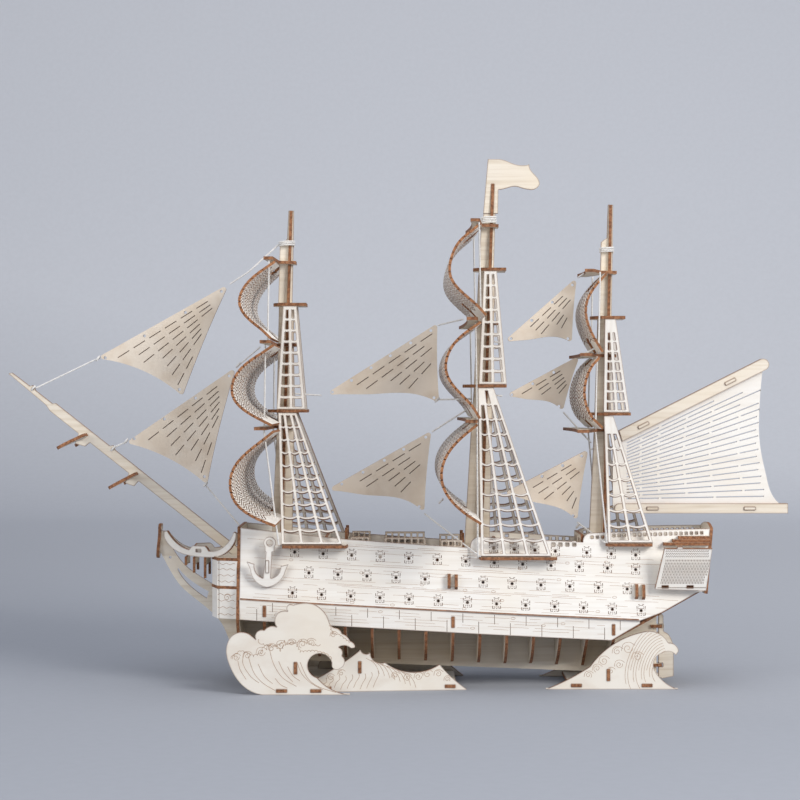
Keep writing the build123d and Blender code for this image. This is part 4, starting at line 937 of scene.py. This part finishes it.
for side, label in ((-1, "port"), (1, "starboard")):
    foam = Engraver("stand_outer_waves", side, engraved_line, "outer_foam_" + label)
    curls(foam, OUTER_CURLS)
    scallops(foam, ((-107.2, 23.4), (-100.9, 27.9), (-92.9, 24.5), (-87.7, 26.2), (-86.0, 30.8),
                    (-80.3, 31.4), (-75.7, 27.9), (-72.3, 31.9), (-66.5, 33.1), (-63.1, 27.3),
                    (-53.9, 27.9), (-47.0, 26.2), (-43.0, 22.8)), 1.0)
    scallops(foam, ((-89.5, 35.8), (-86.5, 33.0), (-79.6, 31.6), (-73.0, 35.2), (-70.0, 33.0),
                    (-62.0, 35.6), (-56.0, 33.0), (-50.0, 32.6)), -1.0)
    scallops(foam, ((-44.6, 44.4), (-42.6, 39.2), (-37.2, 37.8), (-31.6, 33.4)), 0.8)
    for run in OUTER_FLOW:
        foam.line(curve_points(*run, count=6), 0.30)
    foam.finish()
    foam = Engraver("stand_inner_waves", side, engraved_line, "inner_foam_" + label)
    curls(foam, INNER_CURLS)
    for k in range(9):
        x, z = -50.0 + 4.2 * k, 1.6 + 0.5 * (k % 3)
        foam.line(curve_points((x, z), (x + 1.4, z + 3.4), (x + 3.6, z + 5.0 + 0.4 * k),
                               (x + 3.2, z + 7.6 + 0.4 * k), count=4), 0.26)
    for k in range(8):
        x, z = -21.0 + 3.4 * k, 21.6 - 1.3 * k
        foam.line(curve_points((x, z), (x + 4.6, z - 2.6), (x + 7.4, z - 6.6), (x + 8.6, z - 10.4),
                               count=4), 0.26)
    foam.finish()
    foam = Engraver("stand_aft_waves", side, engraved_line, "aft_foam_" + label)
    curls(foam, AFT_CURLS)
    swell(foam, 179.0, 12.5, [13.0 + 1.75 * k for k in range(11)], 108, 214, 0.24)
    foam.finish()
    lattice = Engraver("quarter_galleries", side, engraved_dark, "gallery_lattice_" + label)
    for row in range(3):
        z = 91.2 - 1.7 * row
        lattice.line([(173.6 + 0.62 * k, z + (0.55 if k % 2 else -0.55)) for k in range(46)], 0.36)
    for row in range(9):
        z = 85.6 - 1.85 * row
        left = 168.9 + 0.19 * (z - 66.0)
        for k in range(31 - row // 3):
            lattice.line([(left + 1.2 + 0.98 * k, z), (left + 1.2 + 0.98 * k, z - 1.2)], 0.36)
        lattice.line([(left + 1.0, z + 0.35), (left + 31.0 - 0.4 * row, z + 0.35)], 0.14)
    lattice.line([(168.8, 67.0), (173.8, 92.6), (203.4, 92.6), (200.4, 67.0)], 0.5, True)
    lattice.finish()
    bow = Engraver("bow_panels", side, engraved_line, "bow_waves_" + label)
    for z in (49.0, 53.5, 58.0, 62.0, 70.5, 74.5, 78.5, 82.0):
        bow.line([(-118.4 + 0.7 * k, z + 0.5 * sin(0.9 * k + z)) for k in range(18)], 0.28)
    bow.line(spiral(-112.0, 60.0, 2.4), 0.28)
    bow.finish()

# ---------------------------------------------------------------- cords


def cord_material():
    """White cord, a little fuzzy."""
    material, nodes, links = tree("white_cord")
    shader = nodes["Principled BSDF"]
    place = nodes.new("ShaderNodeTexCoord")
    colour = ramp(nodes, links, noise(nodes, links, place.outputs["Object"], 900.0),
                  (0.74, 0.73, 0.71), (0.88, 0.875, 0.86))
    links.new(colour, shader.inputs["Base Color"])
    shader.inputs["Roughness"].default_value = 0.85
    shader.inputs["Sheen Weight"].default_value = 0.3
    return material


cord_white = cord_material()
STRAND_TURN = 3.4 * MM
STRAND_SIDES = 6
CORD_RADIUS, WRAP_RADIUS, LASHING_RADIUS = 0.6 * MM, 0.55 * MM, 0.5 * MM
CORD_STEP = 0.42 * MM


def cord_runs():
    """Ends of every taut run of the rigging, always in the same order."""
    mesh = welded("rigging")
    seen = set()
    runs = []
    for start in mesh.verts:
        if start in seen:
            continue
        seen.add(start)
        stack = [start]
        island = [start]
        while stack:
            here = stack.pop()
            for edge in here.link_edges:
                other = edge.other_vert(here)
                if other not in seen:
                    seen.add(other)
                    island.append(other)
                    stack.append(other)
        cloud = np.array([v.co[:] for v in island])
        middle = cloud.mean(0)
        axis = np.linalg.svd(cloud - middle)[2][0]
        reach = (cloud - middle) @ axis
        runs.append((Vector(middle + axis * reach.min()), Vector(middle + axis * reach.max())))
    mesh.free()
    return runs


def strand(vertices, faces, path, radius):
    """A round tube along close points."""
    first = len(vertices)
    for i, point in enumerate(path):
        ahead = (path[min(i + 1, len(path) - 1)] - path[max(i - 1, 0)]).normalized()
        across = ahead.cross(Z if abs(ahead.z) < 0.9 else X).normalized()
        other = ahead.cross(across)
        for k in range(STRAND_SIDES):
            angle = 2 * pi * k / STRAND_SIDES
            vertices.append(point + (across * cos(angle) + other * sin(angle)) * radius)
    for i in range(len(path) - 1):
        for k in range(STRAND_SIDES):
            a = first + i * STRAND_SIDES + k
            b = first + i * STRAND_SIDES + (k + 1) % STRAND_SIDES
            faces.append((a, b, b + STRAND_SIDES, a + STRAND_SIDES))
    last = first + (len(path) - 1) * STRAND_SIDES
    faces.append(tuple(first + k for k in reversed(range(STRAND_SIDES))))
    faces.append(tuple(last + k for k in range(STRAND_SIDES)))


def rope(name, centre_line, radius):
    """Three strands twisted round a centre line of close points."""
    vertices, faces = [], []
    walked = [0.0]
    for a, b in zip(centre_line, centre_line[1:]):
        walked.append(walked[-1] + (b - a).length)
    for strand_number in range(3):
        path = []
        for i, point in enumerate(centre_line):
            ahead = (centre_line[min(i + 1, len(centre_line) - 1)]
                     - centre_line[max(i - 1, 0)]).normalized()
            across = ahead.cross(Z if abs(ahead.z) < 0.9 else X).normalized()
            other = ahead.cross(across)
            angle = 2 * pi * (walked[i] / STRAND_TURN + strand_number / 3)
            path.append(point + (across * cos(angle) + other * sin(angle)) * radius * 0.5)
        strand(vertices, faces, path, radius * 0.54)
    made = piece(name, vertices, faces, cord_white, "ship")
    for polygon in made.data.polygons:
        polygon.use_smooth = True
    return made


for number, (a, b) in enumerate(cord_runs()):
    count = max(int((b - a).length / CORD_STEP), 2)
    rope(f"cord_{number:02d}", [a.lerp(b, k / count) for k in range(count + 1)],
                      CORD_RADIUS)
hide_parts("rigging")


def mast_wrap(name, mast, z, turns):
    """Turns of cord wound round a mast head."""
    skin = tree_of(mast)
    low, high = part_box(mast)
    fore = skin.ray_cast(Vector((low[0] - 0.05, 0.2 * MM, z)), X)[0]
    aft = skin.ray_cast(Vector((high[0] + 0.05, 0.2 * MM, z)), -X)[0]
    if fore is None or aft is None:
        return
    middle, half = (fore[0] + aft[0]) / 2, (aft[0] - fore[0]) / 2 + 0.6 * MM
    line = []
    for k in range(turns * 40 + 1):
        angle = 2 * pi * k / 40
        line.append(Vector((middle + half * cos(angle), half * sin(angle),
                            z + 1.15 * MM * (k / 40 - turns / 2))))
    rope(name, line, WRAP_RADIUS)


def lashing(name, x, z, turns=2, size=2.2):
    """Cord looped through an eyelet and round the edge of an upright sheet."""
    line = []
    for k in range(turns * 24 + 1):
        angle = 2 * pi * k / 24
        out = size * MM * 0.55 * cos(angle)
        climb = 0.5 * MM * (k / 24 - turns / 2)
        line.append(Vector((x * MM + out, size * MM * 0.8 * sin(angle), z * MM + out + climb)))
    rope(name, line, LASHING_RADIUS)


mast_wrap("fore_head_wrap", "fore_mast", 293.8 * MM, 3)
mast_wrap("main_head_wrap", "main_mast", 309.6 * MM, 4)
mast_wrap("mizzen_head_wrap", "mizzen_mast", 289.6 * MM, 3)
for number, (x, z) in enumerate(((-191.2, 156.6), (-244.6, 197.0), (-201.4, 217.0),
                                 (-182.6, 161.6), (-129.2, 132.8), (-107.4, 212.6),
                                 (26.0, 189.4), (28.6, 121.6), (120.4, 105.0))):
    lashing(f"lashing_{number}", x, z)

# ---------------------------------------------------------------- stage
# Painted shade: the floor tone is the dark end of a painted light falloff, and the wall tone is
# the pale paper.
PAINTED_SHADE_FLOOR = (0.36, 0.382, 0.43)
WALL = (0.84, 0.86, 0.90)
WALL_FOOT, WALL_SWEEP, WALL_TOP = 1.7, 0.6, 3.4
FLOOR_FRONT, HALF_WIDTH = -2.6, 3.0
SWEEP_STEPS = 12
PAINTED_LIGHT_SLOPE = (0.30, 0.42, 0.9)          # painted light falloff: how fast the paper gets paler along X, Y and Z


def stage_material():
    """Grey paper with painted light falloff: painted shade on the floor at the front and left,
    paler to the right, to the back and up the wall.
    """
    material, nodes, links = tree("backdrop_paper_painted_falloff")
    shader = nodes["Principled BSDF"]
    place = nodes.new("ShaderNodeTexCoord")
    grain = noise(nodes, links, place.outputs["Object"], 140.0)
    painted_shade_floor = ramp(nodes, links, grain, PAINTED_SHADE_FLOOR, tuple(c * 1.02 for c in PAINTED_SHADE_FLOOR))
    wall = ramp(nodes, links, grain, WALL, tuple(c * 1.02 for c in WALL))
    rise = nodes.new("ShaderNodeVectorMath")
    rise.operation = "DOT_PRODUCT"
    rise.inputs[1].default_value = PAINTED_LIGHT_SLOPE
    links.new(place.outputs["Object"], rise.inputs[0])
    # Painted light falloff: the share grows to the right, to the back and upward, going from the
    # painted shade floor tone to the wall tone.
    share = scaled(nodes, links, rise.outputs["Value"], 0.9)
    links.new(mixed(nodes, links, share, painted_shade_floor, wall), shader.inputs["Base Color"])
    shader.inputs["Roughness"].default_value = 0.9
    shader.inputs["Specular IOR Level"].default_value = 0.1
    return material


def backdrop():
    """Floor that sweeps up into a wall, far enough back for cameras behind the model."""
    profile = [(FLOOR_FRONT, 0.0), (WALL_FOOT, 0.0)]
    for k in range(1, SWEEP_STEPS + 1):
        angle = pi / 2 * k / SWEEP_STEPS
        profile.append((WALL_FOOT + WALL_SWEEP * sin(angle),
                        WALL_SWEEP - WALL_SWEEP * cos(angle)))
    profile.append((WALL_FOOT + WALL_SWEEP, WALL_TOP))
    vertices = [(x, y, z) for y, z in profile for x in (-HALF_WIDTH, HALF_WIDTH)]
    faces = [(2 * k, 2 * k + 1, 2 * k + 3, 2 * k + 2) for k in range(len(profile) - 1)]
    mesh = bpy.data.meshes.new("backdrop")
    mesh.from_pydata(vertices, [], faces)
    mesh.materials.append(stage_material())
    for polygon in mesh.polygons:
        polygon.use_smooth = True
    placed("backdrop", mesh)


backdrop()


def area_light(name, place, aim, size, power, colour):
    """Rectangular lamp at a place, turned towards a point."""
    lamp = bpy.data.lights.new(name, "AREA")
    lamp.shape = "RECTANGLE"
    lamp.size, lamp.size_y = size
    lamp.energy = power
    lamp.color = colour
    made = placed(name, lamp)
    made.location = place
    made.rotation_euler = (Vector(aim) - Vector(place)).to_track_quat("-Z", "Y").to_euler()


area_light("key", (1.15, -1.25, 0.95), (0.0, 0.0, 0.15), (0.7, 0.7), 24.5, (1.0, 0.97, 0.93))
area_light("fill", (-1.3, -1.3, 0.7), (0.0, 0.0, 0.15), (1.2, 1.0), 10.0, (1.0, 0.975, 0.94))
area_light("top", (0.0, -0.2, 1.6), (0.0, 0.0, 0.0), (1.4, 1.0), 7.0, (0.97, 0.98, 1.0))

world = bpy.data.worlds.new("world")
world.use_nodes = True
sky = world.node_tree.nodes["Background"]
sky.inputs["Color"].default_value = (0.88, 0.91, 1.0, 1)
sky.inputs["Strength"].default_value = 0.42
bpy.context.scene.world = world

bpy.context.view_layer.update()
